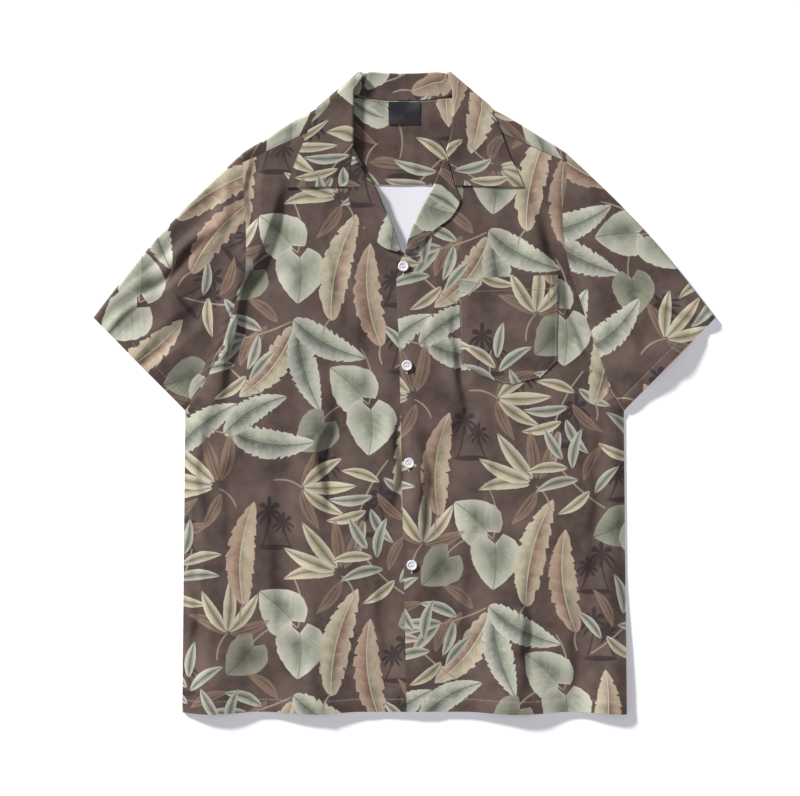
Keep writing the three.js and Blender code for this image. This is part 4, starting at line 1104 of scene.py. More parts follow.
pale_thread, tree, shader = new_material("pale_thread", "#B7AB9A", 0.6, Sheen_Weight=0.3)
white_thread, tree, shader = new_material("white_thread", "#E4E0E2", 0.6, Sheen_Weight=0.3)

# %% [markdown]
# Back and fronts. Each front is a ruled sheet between its side seam and armhole and its own centre
# edge, as it was cut. It dips into the seams, where the needle pulls the two layers together.


# %% The body panels
STEP = 2.7  # spacing of the points of a panel
ARMHOLE_GAP = 0.1  # from the armhole's line to each piece


def offset_line(points, distance):
    """A line of points moved sideways, to its left for a positive distance."""
    way = np.gradient(np.asarray(points, float), axis=0)
    way = way / np.linalg.norm(way, axis=1, keepdims=True)
    return points + distance * np.stack([-way[:, 1], way[:, 0]], 1)


def armhole_line(armhole, side, distance):
    """The armhole from the underarm up, in even steps, moved outwards by a distance."""
    start = np.array([side * CHEST_HALF, UNDERARM_Y])
    knots = np.concatenate([[start, (start + armhole[0]) / 2], np.array(armhole, float)])
    walked = lengths_along(knots)
    at = np.linspace(0, walked[-1], 1 + round(walked[-1] / STEP))
    return offset_line(eased(knots, at, walked), -side * distance)


def body_edge(armhole, side, top):
    """Side seam and armhole of one side, up to a last point."""
    y = np.linspace(HEM_Y, UNDERARM_Y, 1 + round((UNDERARM_Y - HEM_Y) / STEP))
    seam = np.stack([side * side_half(y), y], 1)
    arm = armhole_line(armhole, side, -ARMHOLE_GAP)
    return np.concatenate([seam, arm[1:][arm[1:, 1] < top[1] - 2], [top]])


def sagged(grid):
    """The plan grid with its foot moved down where a wave lifts the hem."""
    x, y = grid[..., 0], grid[..., 1]
    moved = y - hem_drop(x) * (1 - smoothstep(y, HEM_Y, HEM_Y + 140))
    return np.stack([x, moved], axis=-1)


def ruled(left, right):
    """Straight rows between two edges, in even steps."""
    count = 1 + round(np.linalg.norm(right - left, axis=1).max() / STEP)
    shares = np.linspace(0, 1, count)[None, :, None]
    return left[:, None] * (1 - shares) + right[:, None] * shares


def lifted(grid, height):
    """A plan grid as points at a height."""
    return np.concatenate([grid, height[..., None]], axis=-1)


def edge_distance(grid):
    """Distance from each point to the ends of its row: to the first and to the last point."""
    first = np.linalg.norm(grid - grid[:, :1], axis=2)
    last = np.linalg.norm(grid - grid[:, -1:], axis=2)
    return first, last


def centre_edge(outer, free_edge, roll, side, neck, gorge_y):
    """A front's centre edge, row by row: the free edge, then just inside the revers' roll."""
    lower = np.array([p for p in roll if p[1] < gorge_y][::-1], float)
    inset = offset_line(lower, -side * np.minimum(0.8 + 3 * np.arange(len(lower)), 7)[:, None])
    inner_x, inner_y = FORWARD_SEAM["inner"]
    corner = (side * (inner_x + SEAM), inner_y - SEAM)
    line = np.concatenate([np.array(free_edge, float), inset, np.array(neck, float), [corner]])
    split, top = 126, outer[-1, 1]
    y = np.where(outer[:, 1] < split, outer[:, 1],
                 split + (outer[:, 1] - split) * (corner[1] - split) / (top - split))
    return np.stack([eased(line[:, 0], np.clip(y, line[0, 1], line[-1, 1]), line[:, 1]), y], 1)


def front(name, armhole, side, free_edge, roll, neck, gorge_y, turn, offset):
    """One front panel as a thin shell."""
    outer_x, outer_y = FORWARD_SEAM["outer"]
    outer = body_edge(armhole, side, (side * (outer_x - SEAM), outer_y - SEAM))
    centre = centre_edge(outer, free_edge, roll, side, neck, gorge_y)
    plan = sagged(ruled(outer, centre) if side < 0 else ruled(centre, outer))
    x, y = plan[..., 0], plan[..., 1]
    first, last = edge_distance(plan)
    seam, free = (first, last) if side < 0 else (last, first)
    top = front_top(x, y, side > 0) + hem_work(x, y)
    low = 1 - smoothstep(y, UNDERARM_Y - 10, UNDERARM_Y + 10)
    top -= low * 1.0 * np.exp(-((seam / 6) ** 2))
    walk = np.broadcast_to(lengths_along(outer)[:, None], x.shape)
    pucker = 0.22 * np.sin(2 * math.pi * walk / 14 + ripple(x, y, 60, 11)) * np.exp(-seam / 12)
    top += (1 - low) * (pucker - 0.8 * np.exp(-((seam / 2.5) ** 2)))
    shoulder = distance_to_line(x, y, [(side * end_x, end_y) for end_x, end_y in FORWARD_SEAM.values()])
    top -= 0.7 * np.exp(-((shoulder / 2.6) ** 2))
    if side > 0:
        placket = np.exp(-((free / 11) ** 2)) * (1 - smoothstep(y, 140, 165))
        waver = 0.25 * ripple(y, y * 0.3, 60, 12)
        top -= placket * (1.0 + waver)
    outer_grid = lifted(plan, top)
    inner_grid = lifted(plan, top - SHELL)
    return shell(name, outer_grid, inner_grid, on_cloth(x, y, turn, offset))


def back():
    """The back panel, its plain reverse up and its printed side on the surface."""
    y = np.linspace(HEM_Y, YOKE_Y - SEAM / 2, 140)
    right, left = (body_edge(a, s, (s * 193.5, YOKE_Y - SEAM / 2))
                   for a, s in ((ARMHOLE_RIGHT_SIDE, -1), (ARMHOLE_LEFT_SIDE, 1)))
    edges = [np.stack([np.interp(y, e[:, 1], e[:, 0]), y], 1) for e in (right, left)]
    shares = np.linspace(0, 1, 150)[None, :, None]
    plan = sagged(edges[0][:, None] * (1 - shares) + edges[1][:, None] * shares)
    x, y = plan[..., 0], plan[..., 1]
    lower = floor_lift(x, y)
    upper = lower + 1.0 + 0.12 * ripple(x, y, 60, 14)
    return shell("back_cloth", lifted(plan, lower), lifted(plan, upper), on_cloth(x, y, 0, (205, 90)))


UNDER_EDGE = [(UNDER_EDGE_X, HEM_Y - 8), (UNDER_EDGE_X, 138), (14, 154), (3, 165)]
UPPER_EDGE = [(2.8, HEM_Y - 8), (-2.2, -150), (-6.7, 57.6), (-9.7, 130.8), (-8, 150), (-4, 161)]
back_cloth = back()
front_right = front("front_right_cloth", ARMHOLE_RIGHT_SIDE, -1, UNDER_EDGE, ROLL_RIGHT_SIDE,
                    [(-67.4, 316)], 297, 0, (0, 0))
front_left = front("front_left_cloth", ARMHOLE_LEFT_SIDE, 1, UPPER_EDGE, ROLL_LEFT_SIDE,
                   [(60.4, 304.4), (64.6, 315)], 291, 0, (176, 118))

# %% [markdown]
# The yoke goes under the whole back neck, turns over the shoulder folds and is joined to the fronts
# a little forward of them. Its lining faces in, printed side up, with soft folds from the label down.


# %% The yoke
def arc(centre, across, up, radius, start, stop, steps):
    """Points of a turn in the plane of two directions, from one angle to another in degrees."""
    angles = np.radians(np.linspace(start, stop, steps + 1))[:, None]
    return centre + radius * (np.cos(angles) * across + np.sin(angles) * up)


def unit(vector):
    """A vector of length 1."""
    return vector / np.linalg.norm(vector)


UP = np.array([0.0, 0.0, 1.0])


def forward_seam_y(x):
    """Height in plan of the yoke's side of the forward shoulder seam."""
    (outer_x, outer_y), (inner_x, inner_y) = FORWARD_SEAM["outer"], FORWARD_SEAM["inner"]
    return outer_y + (outer_x - np.abs(x)) * (inner_y - outer_y) / (outer_x - inner_x) + SEAM / 2


def yoke_section(foot_x, fold_x, fold_y, end_x, end_y, over):
    """One line of the yoke: from the back seam to the fold, over it, and on to its front end."""
    foot = np.array([foot_x, YOKE_Y + SEAM / 2])
    fold = np.array([fold_x, fold_y])
    inward = unit(foot - fold)
    bottom = float(floor_lift(*fold) + fall_rise(*fold))
    radius = (float(front_top(*fold)) - bottom) / 2
    turn_at = fold + inward * radius * (over > 0)
    shares = np.linspace(0, 1, 40)[:, None]
    flat = foot * (1 - shares) + turn_at * shares
    path = [lifted(flat, floor_lift(flat[:, 0], flat[:, 1]) + fall_rise(flat[:, 0], flat[:, 1]))]
    if over > 0:
        centre = np.array([*turn_at, path[0][-1, 2] + radius])
        path.append(arc(centre, np.array([*-inward, 0.0]), UP, radius, -90, -90 + 180 * over, 10))
    if over > 0.99:
        start = path[-1][-1]
        shares = np.linspace(0.08, 1, 14)[:, None]
        flat = start[:2] * (1 - shares) + np.array([end_x, end_y]) * shares
        seam = np.exp(-((np.linalg.norm(flat - [end_x, end_y], axis=1) / 2.6) ** 2))
        settled = front_top(flat[:, 0], flat[:, 1]) - 0.6 * seam
        ease = smoothstep(shares[:, 0], 0, 0.5)
        path.append(lifted(flat, start[2] * (1 - ease) + settled * ease))
    return resample(np.concatenate(path), 76, 5)


def yoke_table():
    """The yoke's columns with their ends filled in, and the same again on the other side."""
    half = [(a, b, c, d, e or float(forward_seam_y(d)), f) for a, b, c, d, e, f in YOKE_COLUMNS]
    return half + [(-a, -b, c, -d, e, f) for a, b, c, d, e, f in half[-2::-1]]


def yoke_outer():
    """The outer yoke as a thin shell, its sections eased from one column of the table to the next."""
    grid = eased_between(np.array([yoke_section(*row) for row in yoke_table()]), 6)
    inner = grid - normals_of(grid, False) * SHELL
    place = on_cloth(grid[..., 0], -walked_rows(grid), 0, (96, 40))
    return shell("yoke_outer_cloth", grid, inner, place, reverse=False)


def yoke_lining():
    """The yoke lining, with the soft lengthwise folds that the neck shows."""
    rows = [r for r in yoke_table() if r[5] == 0 or (r[5] == 1 and r[4] < 340)]
    feet, ends = [], []
    for foot_x, fold_x, fold_y, _, _, over in rows:
        foot, fold = np.array([foot_x, YOKE_Y + SEAM / 2]), np.array([fold_x, fold_y])
        clear = 9 if over == 1 else 3.2 * (abs(fold_x) > 50)
        feet.append(foot)
        ends.append(fold + unit(foot - fold) * clear)
    walked = np.array(feet)[:, 0]
    at = np.linspace(walked[0], walked[-1], 130)
    low, high = eased(feet, at, walked), eased(ends, at, walked)
    shares = np.linspace(0, 1, 44)[:, None, None]
    plan = low[None] * (1 - shares) + high[None] * shares
    x, y = plan[..., 0], plan[..., 1]
    folds = 0.7 * np.exp(-(((x + 12 + 0.05 * (y - 300)) / 6) ** 2)) * smoothstep(y, 250, 275)
    folds = folds + 0.8 * np.exp(-(((x - 13 - 0.06 * (y - 300)) / 5) ** 2)) * smoothstep(y, 250, 275)
    folds = folds + 0.5 * np.exp(-(((x - 30) / 7) ** 2)) + 0.3 * ripple(x, y * 0.4, 30, 15)
    folds = folds * (1 - smoothstep(y, 318, 336)) * (1 - smoothstep(np.abs(x), 40, 60))
    top = lining_height(x, y) + folds - 0.5 * np.exp(-(((y - YOKE_Y) / 3) ** 2))
    return shell("yoke_lining_cloth", lifted(plan, top), lifted(plan, top - SHELL),
                 on_cloth(x, y, 180, (60, 330)))


yoke_outer_cloth = yoke_outer()
yoke_lining_cloth = yoke_lining()

# %% [markdown]
# A camp collar has no stand piece: one doubled strip rises out of the neck seam, turns at the roll
# line and falls open. It is made of sections across it, each worked out as the strip really runs.


# %% Collar and revers
HALF_DOUBLE = 0.55  # half the drawn thickness of the collar's two layers
COLUMNS = 60


def collar_section(roll, edge, neck, turned, normal, stand_at, fall_at):
    """One section: neck seam, stand, turn at the roll line, fall, free edge."""
    out = unit(edge - roll)
    across = np.array([*-out, 0.0])
    fold_at = roll + out * (DOUBLE / 2 + ROLL_RADIUS)
    centre = fall_at(fold_at) - normal * ROLL_RADIUS
    path = []
    if turned == 1:
        stand_end = centre - normal * ROLL_RADIUS
        path += [stand_at(neck, stand_end, share) for share in (0, 0.25, 0.5, 0.75)]
        path += list(arc(centre, across, normal, ROLL_RADIUS, -90, 90, 16))
    elif turned > 0:
        path += list(arc(centre, across, normal, ROLL_RADIUS, 90 - 180 * turned, 90, 8))
    else:
        path.append(fall_at(roll))
    path += [fall_at(fold_at * (1 - share) + edge * share) for share in np.linspace(0.05, 1, 22)]
    return resample(np.array(path), COLUMNS, 5)


def on_front(p):
    """The middle of the collar over a point of the chest."""
    return np.array([*p, float(revers_height(*p))])


def chest_section(row):
    """A section where the collar lies on the chest."""
    roll_x, roll_y, edge_x, edge_y, neck_x, neck_y, turned = row

    def stand_at(p, end, share):
        return np.array([*p, float(front_top(*p)) - CLOTH / 2]) * (1 - share) + end * share

    return collar_section(np.array([roll_x, roll_y]), np.array([edge_x, edge_y]),
                          np.array([neck_x, neck_y]), turned, UP, stand_at, on_front)


BACK_FALL_Z = DOUBLE / 2
BACK_STAND_Z = FALL_RISE + CLOTH + SEAM


def shoulder_section(side, angle):
    """A section at the shoulder, where the fall turns from the chest to behind the neck."""
    roll, edge, neck = (np.array([side * COLLAR_SHOULDER[k][0], COLLAR_SHOULDER[k][1]])
                        for k in ("roll", "edge", "neck"))
    out = unit(edge - roll)
    outward = np.array([-out[1], out[0]]) * (-1 if side < 0 else 1)
    turn = math.radians(angle)
    edge = edge + out * math.sin(turn) * (FREE_EDGE_BEFORE if angle > 0 else FREE_EDGE_BEHIND)
    normal = np.array([*outward * math.cos(turn), math.sin(turn)])
    behind = np.array([0, ROLL_BEHIND * max(0, -math.sin(turn)) ** 2])

    def fall_at(p):
        high = float(revers_height(*p))
        radius = (high - BACK_FALL_Z) / 2
        axis = p - outward * (radius + DOUBLE / 2) + behind
        return np.array([*axis, (high + BACK_FALL_Z) / 2]) + normal * radius

    def stand_at(p, end, share):
        high = float(front_top(*p)) - CLOTH / 2
        radius = (high - BACK_STAND_Z) / 2
        start = np.array([*(p - outward * radius), (high + BACK_STAND_Z) / 2]) + normal * radius
        return start * (1 - share) + end * share

    return collar_section(roll, edge, neck, 1, normal, stand_at, fall_at)


def back_section(row):
    """A section behind the neck, where the fall lies under the yoke."""
    x, roll_y, edge_y, neck_y = row

    def stand_at(p, end, share):
        return np.array([*p, BACK_STAND_Z]) * (1 - share) + end * share

    return collar_section(np.array([x, roll_y]), np.array([x, edge_y]), np.array([x, neck_y + 0.5]),
                          1, -UP, stand_at, lambda p: np.array([*p, BACK_FALL_Z]))


def doubled(name, middle, cloth):
    """A shell about a grid of middle points, printed on both sides."""
    half = normals_of(middle, False) * HALF_DOUBLE
    return shell(name, middle + half, middle - half, cloth, reverse=False)


def collar():
    """The collar, its sections eased from one station to the next."""
    sections = [chest_section(row) for row in COLLAR_RIGHT_SIDE]
    sections += [shoulder_section(-1, angle) for angle in COLLAR_TURN_ANGLES]
    sections += [back_section(row) for row in COLLAR_BACK]
    sections += [shoulder_section(1, angle) for angle in COLLAR_TURN_ANGLES[::-1]]
    sections += [chest_section(row) for row in COLLAR_LEFT_SIDE[::-1]]
    grid = eased_between(sections, 6)
    x, y = grid[..., 0], grid[..., 1]
    share = np.linspace(0, 1, COLUMNS)[None]
    fall = smoothstep(share, 0.35, 0.6) * (grid[..., 2] > 5)
    grid[..., 2] += fall * (0.35 + 0.35 * ripple(x, y, 55, 21)) * (1 - smoothstep(share, 0.9, 1))
    v = walked_rows(grid)
    u = np.concatenate([[0], np.cumsum(np.linalg.norm(np.diff(grid[:, 44], axis=0), axis=1))])
    u = np.broadcast_to(u[:, None], v.shape)
    return doubled("collar_cloth", grid, on_cloth(u, v - v[:, -1:], 90, (310, 60)))


def revers(name, stations, overlap, offset):
    """A revers: it rises out of the neck edge, turns over the roll line and lies on the chest."""
    sections = []
    for roll_x, roll_y, edge_x, edge_y in stations:
        roll, edge = np.array([roll_x, roll_y]), np.array([edge_x, edge_y])
        width = np.linalg.norm(edge - roll)
        out = (edge - roll) / width
        turn = min(ROLL_RADIUS, width / 4)
        start = roll + out * DOUBLE / 2
        flat = start + out * turn
        top = float(revers_height(*flat, overlap))
        base = min(float(front_top(*start, overlap)) - CLOTH * 0.4, top - turn - 0.2)
        path = [np.array([*start, base])]
        path += list(arc(np.array([*flat, top - turn]), np.array([*-out, 0.0]), UP, turn, 0, 90, 8))
        points = [flat * (1 - share) + edge * share for share in np.linspace(0.06, 1, 16)]
        path += [np.array([*p, float(revers_height(*p, overlap))]) for p in points]
        sections.append(resample(np.array(path), 34, 3))
    grid = eased_between(sections, 8)
    x, y = grid[..., 0], grid[..., 1]
    return doubled(name, grid, on_cloth(x, y, 0, offset))


collar_cloth = collar()
revers_right = revers("revers_right_cloth", REVERS_RIGHT_SIDE, False, (150, 30))
revers_left = revers("revers_left_cloth", REVERS_LEFT_SIDE, True, (60, 210))

# %% [markdown]
# A sleeve is a tube pressed flat: its top face goes on from the front's height, its under face lies
# on the surface, and half turns close it along the top fold and the underarm. The hem is turned in.


# %% The sleeves
FOLD_RADIUS = 4.5  # the most that a folded edge is rounded


def sleeve(name, armhole, side, turn, offset):
    """One sleeve as a ring of points for each step from the cuff to the armhole."""
    arm = armhole_line(armhole, side, ARMHOLE_GAP)[::-1]
    arm = arm[arm[:, 1] > armhole[0][1]]
    walked = lengths_along(arm)
    tip = np.array(SLEEVE_TIP) * (side, 1)
    underarm = np.array([side * (CHEST_HALF + 0.3), UNDERARM_Y + 0.3])
    along = unit(arm[-1] - underarm)
    across = side * np.array([along[1], -along[0]])
    v = np.linspace(0, 1, 62)[:, None]

    def place(shares):
        """Plan points of the sleeve at shares of the armhole, for every row."""
        shares = np.asarray(shares, float)
        points = eased(arm, shares * walked[-1], walked)
        cuff = tip + (underarm - tip) * shares[:, None]
        bulge = (1 - shares) ** 2 * np.sin(math.pi * v)
        flat = cuff[None] * (1 - v[..., None]) + points[None] * v[..., None]
        return flat + bulge[..., None] * np.array([side * 5.5, 5.0]), np.linalg.norm(points - cuff, axis=1)

    def fold(here, inward, start, stop):
        """The half turn of a folded edge, one arc for each row."""
        bottom = floor_lift(here[:, 0], here[:, 1])
        radius = np.minimum((front_top(here[:, 0], here[:, 1]) - bottom) / 2 - 0.1, FOLD_RADIUS)
        centre = here + inward * radius[:, None]
        angle = np.radians(np.linspace(start, stop, 11))
        flat = centre[:, None] - inward[:, None] * (radius[:, None] * np.cos(angle))[..., None]
        return lifted(flat, (bottom + radius)[:, None] + radius[:, None] * np.sin(angle))

    shares = np.linspace(0.034, 0.966, 114)
    flat, reach = place(shares)
    ends, _ = place([0, 0.07, 0.93, 1])
    first = ends[:, 1] - ends[:, 0]
    last = ends[:, 2] - ends[:, 3]
    first = first / np.linalg.norm(first, axis=1, keepdims=True)
    last = last / np.linalg.norm(last, axis=1, keepdims=True) + across
    last = last / np.linalg.norm(last, axis=1, keepdims=True)
    x, y = flat[..., 0], flat[..., 1]
    from_cuff = v * reach[None]
    from_arm = (1 - v) * reach[None]
    walk = np.broadcast_to(shares[None] * walked[-1], x.shape)
    top = front_top(x, y) - 0.1
    top += 0.35 * np.exp(-(((from_cuff - CUFF_HEM / 2) / 5) ** 2))
    top -= 0.35 * np.exp(-(((from_cuff - CUFF_HEM) / 1.6) ** 2))
    top += 0.14 * np.sin(2 * math.pi * walk / 9) * np.exp(-(((from_cuff - CUFF_HEM) / 5) ** 2))
    pucker = 0.3 * np.sin(2 * math.pi * walk / 15 + ripple(x, y, 60, 31)) * np.exp(-from_arm / 13)
    top += pucker - 0.8 * np.exp(-((from_arm / 6) ** 2))
    bottom = floor_lift(x, y)
    ring = np.concatenate([
        fold(ends[:, 0], first, -90, 90),
        lifted(flat, top),
        fold(ends[:, 3], last, 90, -90),
        lifted(flat, bottom)[:, ::-1],
    ], axis=1)
    inner = ring + side * normals_of(ring, True) * SHELL
    inner[..., 2] = np.maximum(inner[..., 2], SHELL / 2)
    closed = np.concatenate([ring, ring[:, :1]], axis=1)
    return shell(name, ring, inner, on_cloth(closed[..., 0], closed[..., 1], turn, offset), ring=True)


sleeve_right = sleeve("sleeve_right_cloth", ARMHOLE_RIGHT_SIDE, -1, 48, (250, 150))
sleeve_left = sleeve("sleeve_left_cloth", ARMHOLE_LEFT_SIDE, 1, -48, (30, 300))

# %% [markdown]
# The pocket lies on the front and is stitched down all round but its mouth, so its edges dip to the
# front and its middle stands off. The label hangs from the neck seam and is left bare.


# %% Pocket and label
def pocket_plan():
    """The pocket's plan: straight rows from the pointed foot to the mouth."""
    rows = np.array(POCKET_ROWS, float)
    knots = np.concatenate([[0], np.cumsum(np.hypot(*np.diff(rows[:, :2], axis=0).T))])
    at = np.linspace(0, knots[-1], 56)
    edges = np.stack([np.interp(at, knots, rows[:, k]) for k in range(4)], 1)
    return ruled(edges[:, :2], edges[:, 2:])


def pocket():
    """The patch pocket as a thin shell on the front."""
    plan = pocket_plan()
    x, y = plan[..., 0], plan[..., 1]
    outline = [row[:2] for row in POCKET_ROWS[::-1]] + [row[2:] for row in POCKET_ROWS]
    rim = distance_to_line(x, y, outline)
    mouth = distance_to_line(x, y, [POCKET_ROWS[-1][:2], POCKET_ROWS[-1][2:]])
    stand = 0.75 + 1.1 * (1 - np.exp(-((rim / 5) ** 2)))
    hem = 0.35 * np.exp(-(((mouth - POCKET_HEM / 2) / 7) ** 2))
    hem -= 0.3 * np.exp(-(((mouth - POCKET_HEM) / 1.5) ** 2))
    top = front_top(x, y, True) + stand + hem + 0.12 * ripple(x, y, 40, 41)
    return shell("pocket_cloth", lifted(plan, top), lifted(plan, top - SHELL),
                 on_cloth(x, y, 0, (40, 292)), reverse=False)


def plain_panel(name, plan, top, thickness, material):
    """A thin closed panel of one plain material."""
    rows, columns = plan.shape[:2]
    count = rows * columns
    points = np.concatenate([lifted(plan, top).reshape(-1, 3), lifted(plan, top - thickness).reshape(-1, 3)])
    upper = grid_faces(rows, columns, columns - 1, False)
    lower = grid_faces(rows, columns, columns - 1, True) + count
    around = np.concatenate([
        np.arange(columns), columns * np.arange(1, rows) + columns - 1,
        (rows - 1) * columns + np.arange(columns - 2, -1, -1), columns * np.arange(rows - 2, 0, -1),
    ])
    after = np.roll(around, -1)
    rim = np.stack([around, around + count, after + count, after], 1)
    quads = np.concatenate([upper, lower, rim])
    return make_mesh(name, points, quads, np.zeros(len(quads)), [material])


def label():
    """The bare woven label, a little bowed between its two stitched corners."""
    x = np.linspace(LABEL["left"], LABEL["right"], 48)
    y = np.linspace(LABEL["foot"], LABEL["top"], 36)
    x, y = np.meshgrid(x, y)
    height = lining_height(x, y) + 0.9 + 0.35 * ripple(x, y, 30, 43)
    height += 0.5 * (1 - smoothstep(y, LABEL["foot"], LABEL["foot"] + 14))
    return plain_panel("label_cloth", np.stack([x, y], -1), height, 0.5, label_satin)


pocket_cloth = pocket()
label_cloth = label()

# %% [markdown]
# A 20-line shirt button is turned from a resin rod: raised rim, dished middle, four holes. It is
# made as rings about its axis, pressed down at the holes, and sewn on with a few turns of thread.


# %% Buttons
def strip_over_ring(around, first, flip):
    """Quads from one side of a ring of points to the other, which close the hole in its middle."""
    k = np.arange(around // 2 - 1)
    strip = np.stack([k, k + 1, around - 2 - k, around - 1 - k], 1) + first
    return strip[:, ::-1] if flip else strip


def button(number, x, y):
    """One button: rings of points whose height is the turned profile less the four wells."""
    radius, rings, around = 6.3, 46, 96
    share = np.linspace(0, 1, rings)[:, None]
    r = radius * np.sqrt(share) * np.ones((1, around))
    r[0] = 0.02
    angle = np.linspace(0, 2 * math.pi, around, endpoint=False)[None]
    px, py = r * np.cos(angle), r * np.sin(angle)
    rim = smoothstep(r, 3.6, 4.7) * 0.5
    edge = -0.7 * smoothstep(r, 5.5, 6.3) ** 2
    wells = sum(
        smoothstep(-np.hypot(px - sx, py - sy), -0.95, -0.65)
        for sx in (-1.35, 1.35) for sy in (-1.35, 1.35)
    )
    top = 2.4 - 0.5 + rim + edge - 0.8 * wells
    under = np.stack([px[-1] * 0.86, py[-1] * 0.86, np.full(around, 0.1)], -1)[None]
    heart = np.stack([px[-1] * 0.004, py[-1] * 0.004, np.full(around, 0.1)], -1)[None]
    side = np.stack([px[-1], py[-1], np.full(around, 1.0)], -1)[None]
    grid = np.concatenate([np.stack([px, py, top], -1), side, under, heart])
    base = float(front_top(x, y, True)) + 0.35
    points = grid.reshape(-1, 3) + (x, y, base)
    quads = np.concatenate([
        grid_faces(len(grid), around, around, True),
        strip_over_ring(around, 0, False),
        strip_over_ring(around, (len(grid) - 1) * around, True),
    ])
    return make_mesh(f"button_{number}_resin", points, quads, np.zeros(len(quads)), [button_resin]), base


def capsules(name, starts, ends, radius, material):
    """Short rounded threads from starts to ends, all in one mesh: each a tube of five rings."""
    starts, ends = np.asarray(starts, float), np.asarray(ends, float)
    way = ends - starts
    size = np.linalg.norm(way, axis=1, keepdims=True)
    way = way / size
    across = np.cross(way, UP)
    across = across / np.maximum(np.linalg.norm(across, axis=1, keepdims=True), 1e-6)
    up = np.cross(across, way)
    angle = np.linspace(0, 2 * math.pi, 8, endpoint=False)
    shares = np.array([0, 0.12, 0.5, 0.88, 1.0])
    girth = np.array([0.25, 0.85, 1.0, 0.85, 0.25]) * radius
    circle = across[:, None] * np.cos(angle)[None, :, None] + up[:, None] * np.sin(angle)[None, :, None]
    spine = starts[:, None] + (ends - starts)[:, None] * shares[None, :, None]
    points = spine[:, :, None] + circle[:, None] * girth[None, :, None, None]
    one = grid_faces(5, 8, 8, False)
    caps = np.array([[3, 2, 1, 0], [3, 0, 7, 4], [4, 7, 6, 5],
                     [32, 33, 34, 35], [32, 35, 36, 39], [36, 37, 38, 39]])
    quads = np.concatenate([one, caps])
    quads = (quads[None] + 40 * np.arange(len(starts))[:, None, None]).reshape(-1, 4)
    return make_mesh(name, points.reshape(-1, 3), quads, np.zeros(len(quads)), [material])


button_pieces = []
for number, (x, y) in enumerate(BUTTONS, 1):
    piece, base = button(number, x, y)
    thread_starts, thread_ends = [], []
    for k in range(3):
        lift = base + 1.98 + 0.05 * k
        thread_starts += [(x - 1.35 + 0.25 * k, y - 1.5, lift), (x + 1.1 + 0.25 * k, y - 1.5, lift)]
        thread_ends += [(x - 1.35 + 0.25 * k, y + 1.5, lift), (x + 1.1 + 0.25 * k, y + 1.5, lift)]
    hole = float(front_top(x, y - 7.6, True))
    for k in range(9):
        side_x = x - 0.9 + 1.8 * (k % 2)
        thread_starts.append((side_x, y - 6.4 - 0.42 * k, hole + 0.15))
        thread_ends.append((x, y - 6.5 - 0.42 * k, hole + 0.3))
    thread = capsules(f"button_{number}_thread", thread_starts, thread_ends, 0.3, white_thread)
    button_pieces.append((piece, thread))
print(len(button_pieces), "buttons")

# %% [markdown]
# Lockstitch, about nine stitches to the inch: short capsules of thread laid a little into the cloth
# along the hems, the pocket and the neck seam.


# %% Stitching
def stitch_line(line, height, length=2.3, gap=0.75):
    """Starts and ends of the stitches along a line of plan points, laid at a height function."""
    line = np.asarray(line, float)
    walked = lengths_along(line)
    at = np.arange(1.0, walked[-1] - length, length + gap)
    points = []
    for where in (at, at + length):
        x, y = (np.interp(where, walked, line[:, k]) for k in (0, 1))
        points.append(np.stack([x, y, height(x, y) + 0.05], 1))
    return points


def hem_line(x):
    """The hem's stitching in plan."""
    y = np.full_like(x, HEM_Y + HEM)
    return np.stack([x, y - hem_drop(x) * 0.97], 1)


def front_height_at(overlap):
    """The height of a front with its hem work, for stitches."""
    return lambda x, y: front_top(x, y, overlap) + hem_work(x, y)


hem_right = stitch_line(hem_line(np.linspace(-263, 0, 200)), front_height_at(False))
hem_left = stitch_line(hem_line(np.linspace(4, 263, 200)), front_height_at(True))
stitches_hem_right = capsules("hem_stitches_right", *hem_right, 0.28, pale_thread)
stitches_hem_left = capsules("hem_stitches_left", *hem_left, 0.28, pale_thread)


def cuff_line(side):
    """The cuff's stitching in plan, set in from the cuff."""
    tip, underarm = np.array(SLEEVE_TIP) * (side, 1), np.array([side * 264, UNDERARM_Y + 0.6])
    inward = unit(np.array([-side * 1.0, 0.84])) * CUFF_HEM
    shares = np.linspace(0.03, 0.96, 80)[:, None]
    return tip * (1 - shares) + underarm * shares + inward


cuff_stitches = [
    capsules(f"cuff_stitches_{name}", *stitch_line(cuff_line(side), lambda x, y: front_top(x, y) - 0.4),
             0.26, pale_thread)
    for name, side in (("right", -1), ("left", 1))
]


def pocket_height(x, y):
    """Height of the pocket's face near its stitching."""
    return front_top(x, y, True) + 0.95


rows = np.array(POCKET_ROWS)
inset = 1.8
sides = np.concatenate([rows[::-1, :2] + (inset, 0), rows[:, 2:] - (inset, 0)])
sides[:, 1] += np.where(sides[:, 1] < 40, inset * 0.9, 0)
mouth = np.array([rows[-1, :2] + (1, -POCKET_HEM), rows[-1, 2:] - (1, POCKET_HEM)])
edge_stitches = stitch_line(sides, pocket_height)
mouth_stitches = stitch_line(mouth, lambda x, y: front_top(x, y, True) + 1.75)
pocket_lines = [np.concatenate(pair) for pair in zip(edge_stitches, mouth_stitches)]
pocket_stitches = capsules("pocket_stitches", *pocket_lines, 0.24, pale_thread)
x = np.linspace(-56, 56, 60)
neck = np.stack([x, 348.6 + 0.0012 * x**2], 1)
neck_stitches = capsules(
    "neck_stitches", *stitch_line(neck, lambda x, y: lining_height(x, y) + 0.1), 0.28, pale_thread
)
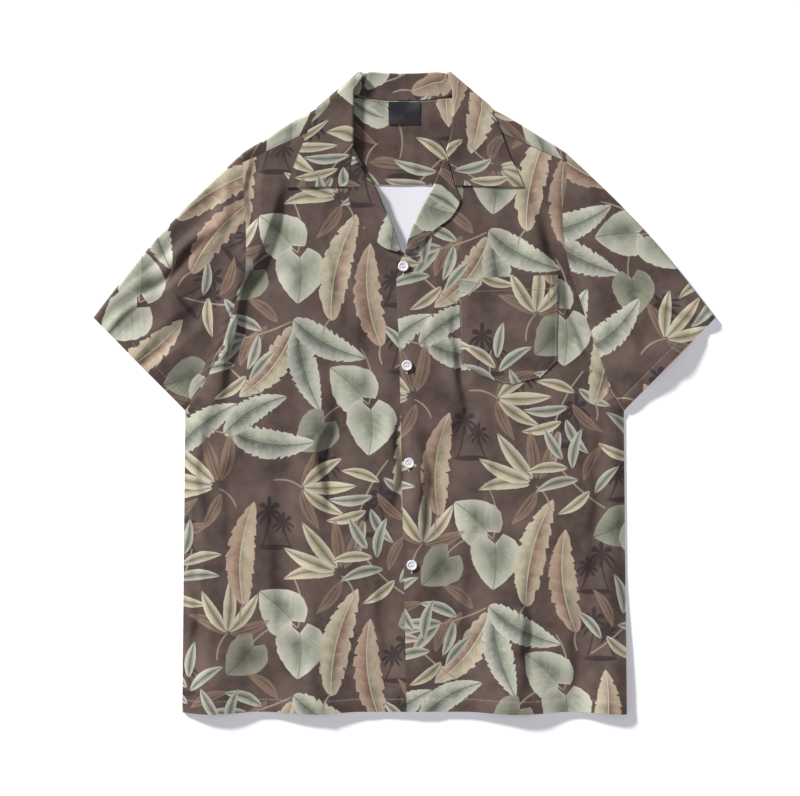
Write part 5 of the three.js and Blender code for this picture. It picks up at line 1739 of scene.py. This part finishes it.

# %% [markdown]
# Each piece stands for its solid, which is hidden, and the table gives the cut of cloth that shows.

# %% Pieces and sheets
cut_sheets = [
    (back_cloth, "back", (0.533, 0.632), 0.307, ["floor"], []),
    (front_right, "front_right", (0.29, 0.715), 0.173, ["back_cloth"], [stitches_hem_right]),
    (front_left, "front_left", (0.275, 0.715), 0.163, ["back_cloth"], [stitches_hem_left]),
    (yoke_outer_cloth, "yoke_outer", (0.39, 0.165), 0.0393, ["back_cloth"], []),
    (yoke_lining_cloth, "yoke_lining", (0.39, 0.1), 0.0307, ["yoke_outer_cloth"], [neck_stitches]),
    (collar_cloth, "collar", (0.45, 0.1), 0.0273, ["front_left_cloth", "front_right_cloth"], []),
    (revers_right, "facing_right", (0.13, 0.045), 0.0035, ["front_right_cloth"], []),
    (revers_left, "facing_left", (0.13, 0.045), 0.0034, ["front_left_cloth"], []),
    (sleeve_right, "sleeve_right", (0.6, 0.15), 0.058, ["floor"], [cuff_stitches[0]]),
    (sleeve_left, "sleeve_left", (0.6, 0.15), 0.0555, ["floor"], [cuff_stitches[1]]),
    (pocket_cloth, "pocket", (0.119, 0.131), 0.0139, ["front_left_cloth"], [pocket_stitches]),
    (label_cloth, "label", (0.038, 0.028), None, ["yoke_lining_cloth"], []),
]
for piece, node, flat, area, under, stitches in cut_sheets:
    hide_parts(node)
    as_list(under)
    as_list(stitches)
for number, (piece, thread) in enumerate(button_pieces, 1):
    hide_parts(f"button_{number}")

# %% [markdown]
# The picture was taken straight from above on a white table that glows a little, with one large soft
# light low at the upper left: the folds shade strongly while the table stays white.

# %% Table, light and camera
table_white, tree, shader = new_material("table_white", "#F4F4F6", 0.9, Specular_IOR_Level=0.1)
shader.inputs["Emission Color"].default_value = linear("#F2F0F6")
shader.inputs["Emission Strength"].default_value = 0.26
bpy.ops.mesh.primitive_plane_add(size=12)
floor = bpy.context.object
floor.name = "floor"
floor.data.materials.append(table_white)

sun_data = bpy.data.lights.new("window", "SUN")
sun_data.energy = 5.3
sun_data.angle = math.radians(9)
sun_data.color = (1.0, 0.985, 0.965)
sun = bpy.data.objects.new("window", sun_data)
sun.rotation_euler = Vector((0.66, -0.62, -0.43)).to_track_quat("-Z", "Y").to_euler()
bpy.context.scene.collection.objects.link(sun)

world = bpy.data.worlds.new("room")
bpy.context.scene.world = world
world.use_nodes = True
world.node_tree.nodes["Background"].inputs["Color"].default_value = (0.94, 0.95, 1.0, 1)
world.node_tree.nodes["Background"].inputs["Strength"].default_value = 0.30

camera_data = bpy.data.cameras.new("camera")
camera_data.lens = 225
camera_data.sensor_width = 36
camera = bpy.data.objects.new("camera", camera_data)
camera.location = (-0.0054, -0.0060, 6.0)
bpy.context.scene.collection.objects.link(camera)
bpy.context.scene.camera = camera
bpy.context.scene.view_settings.view_transform = "Standard"
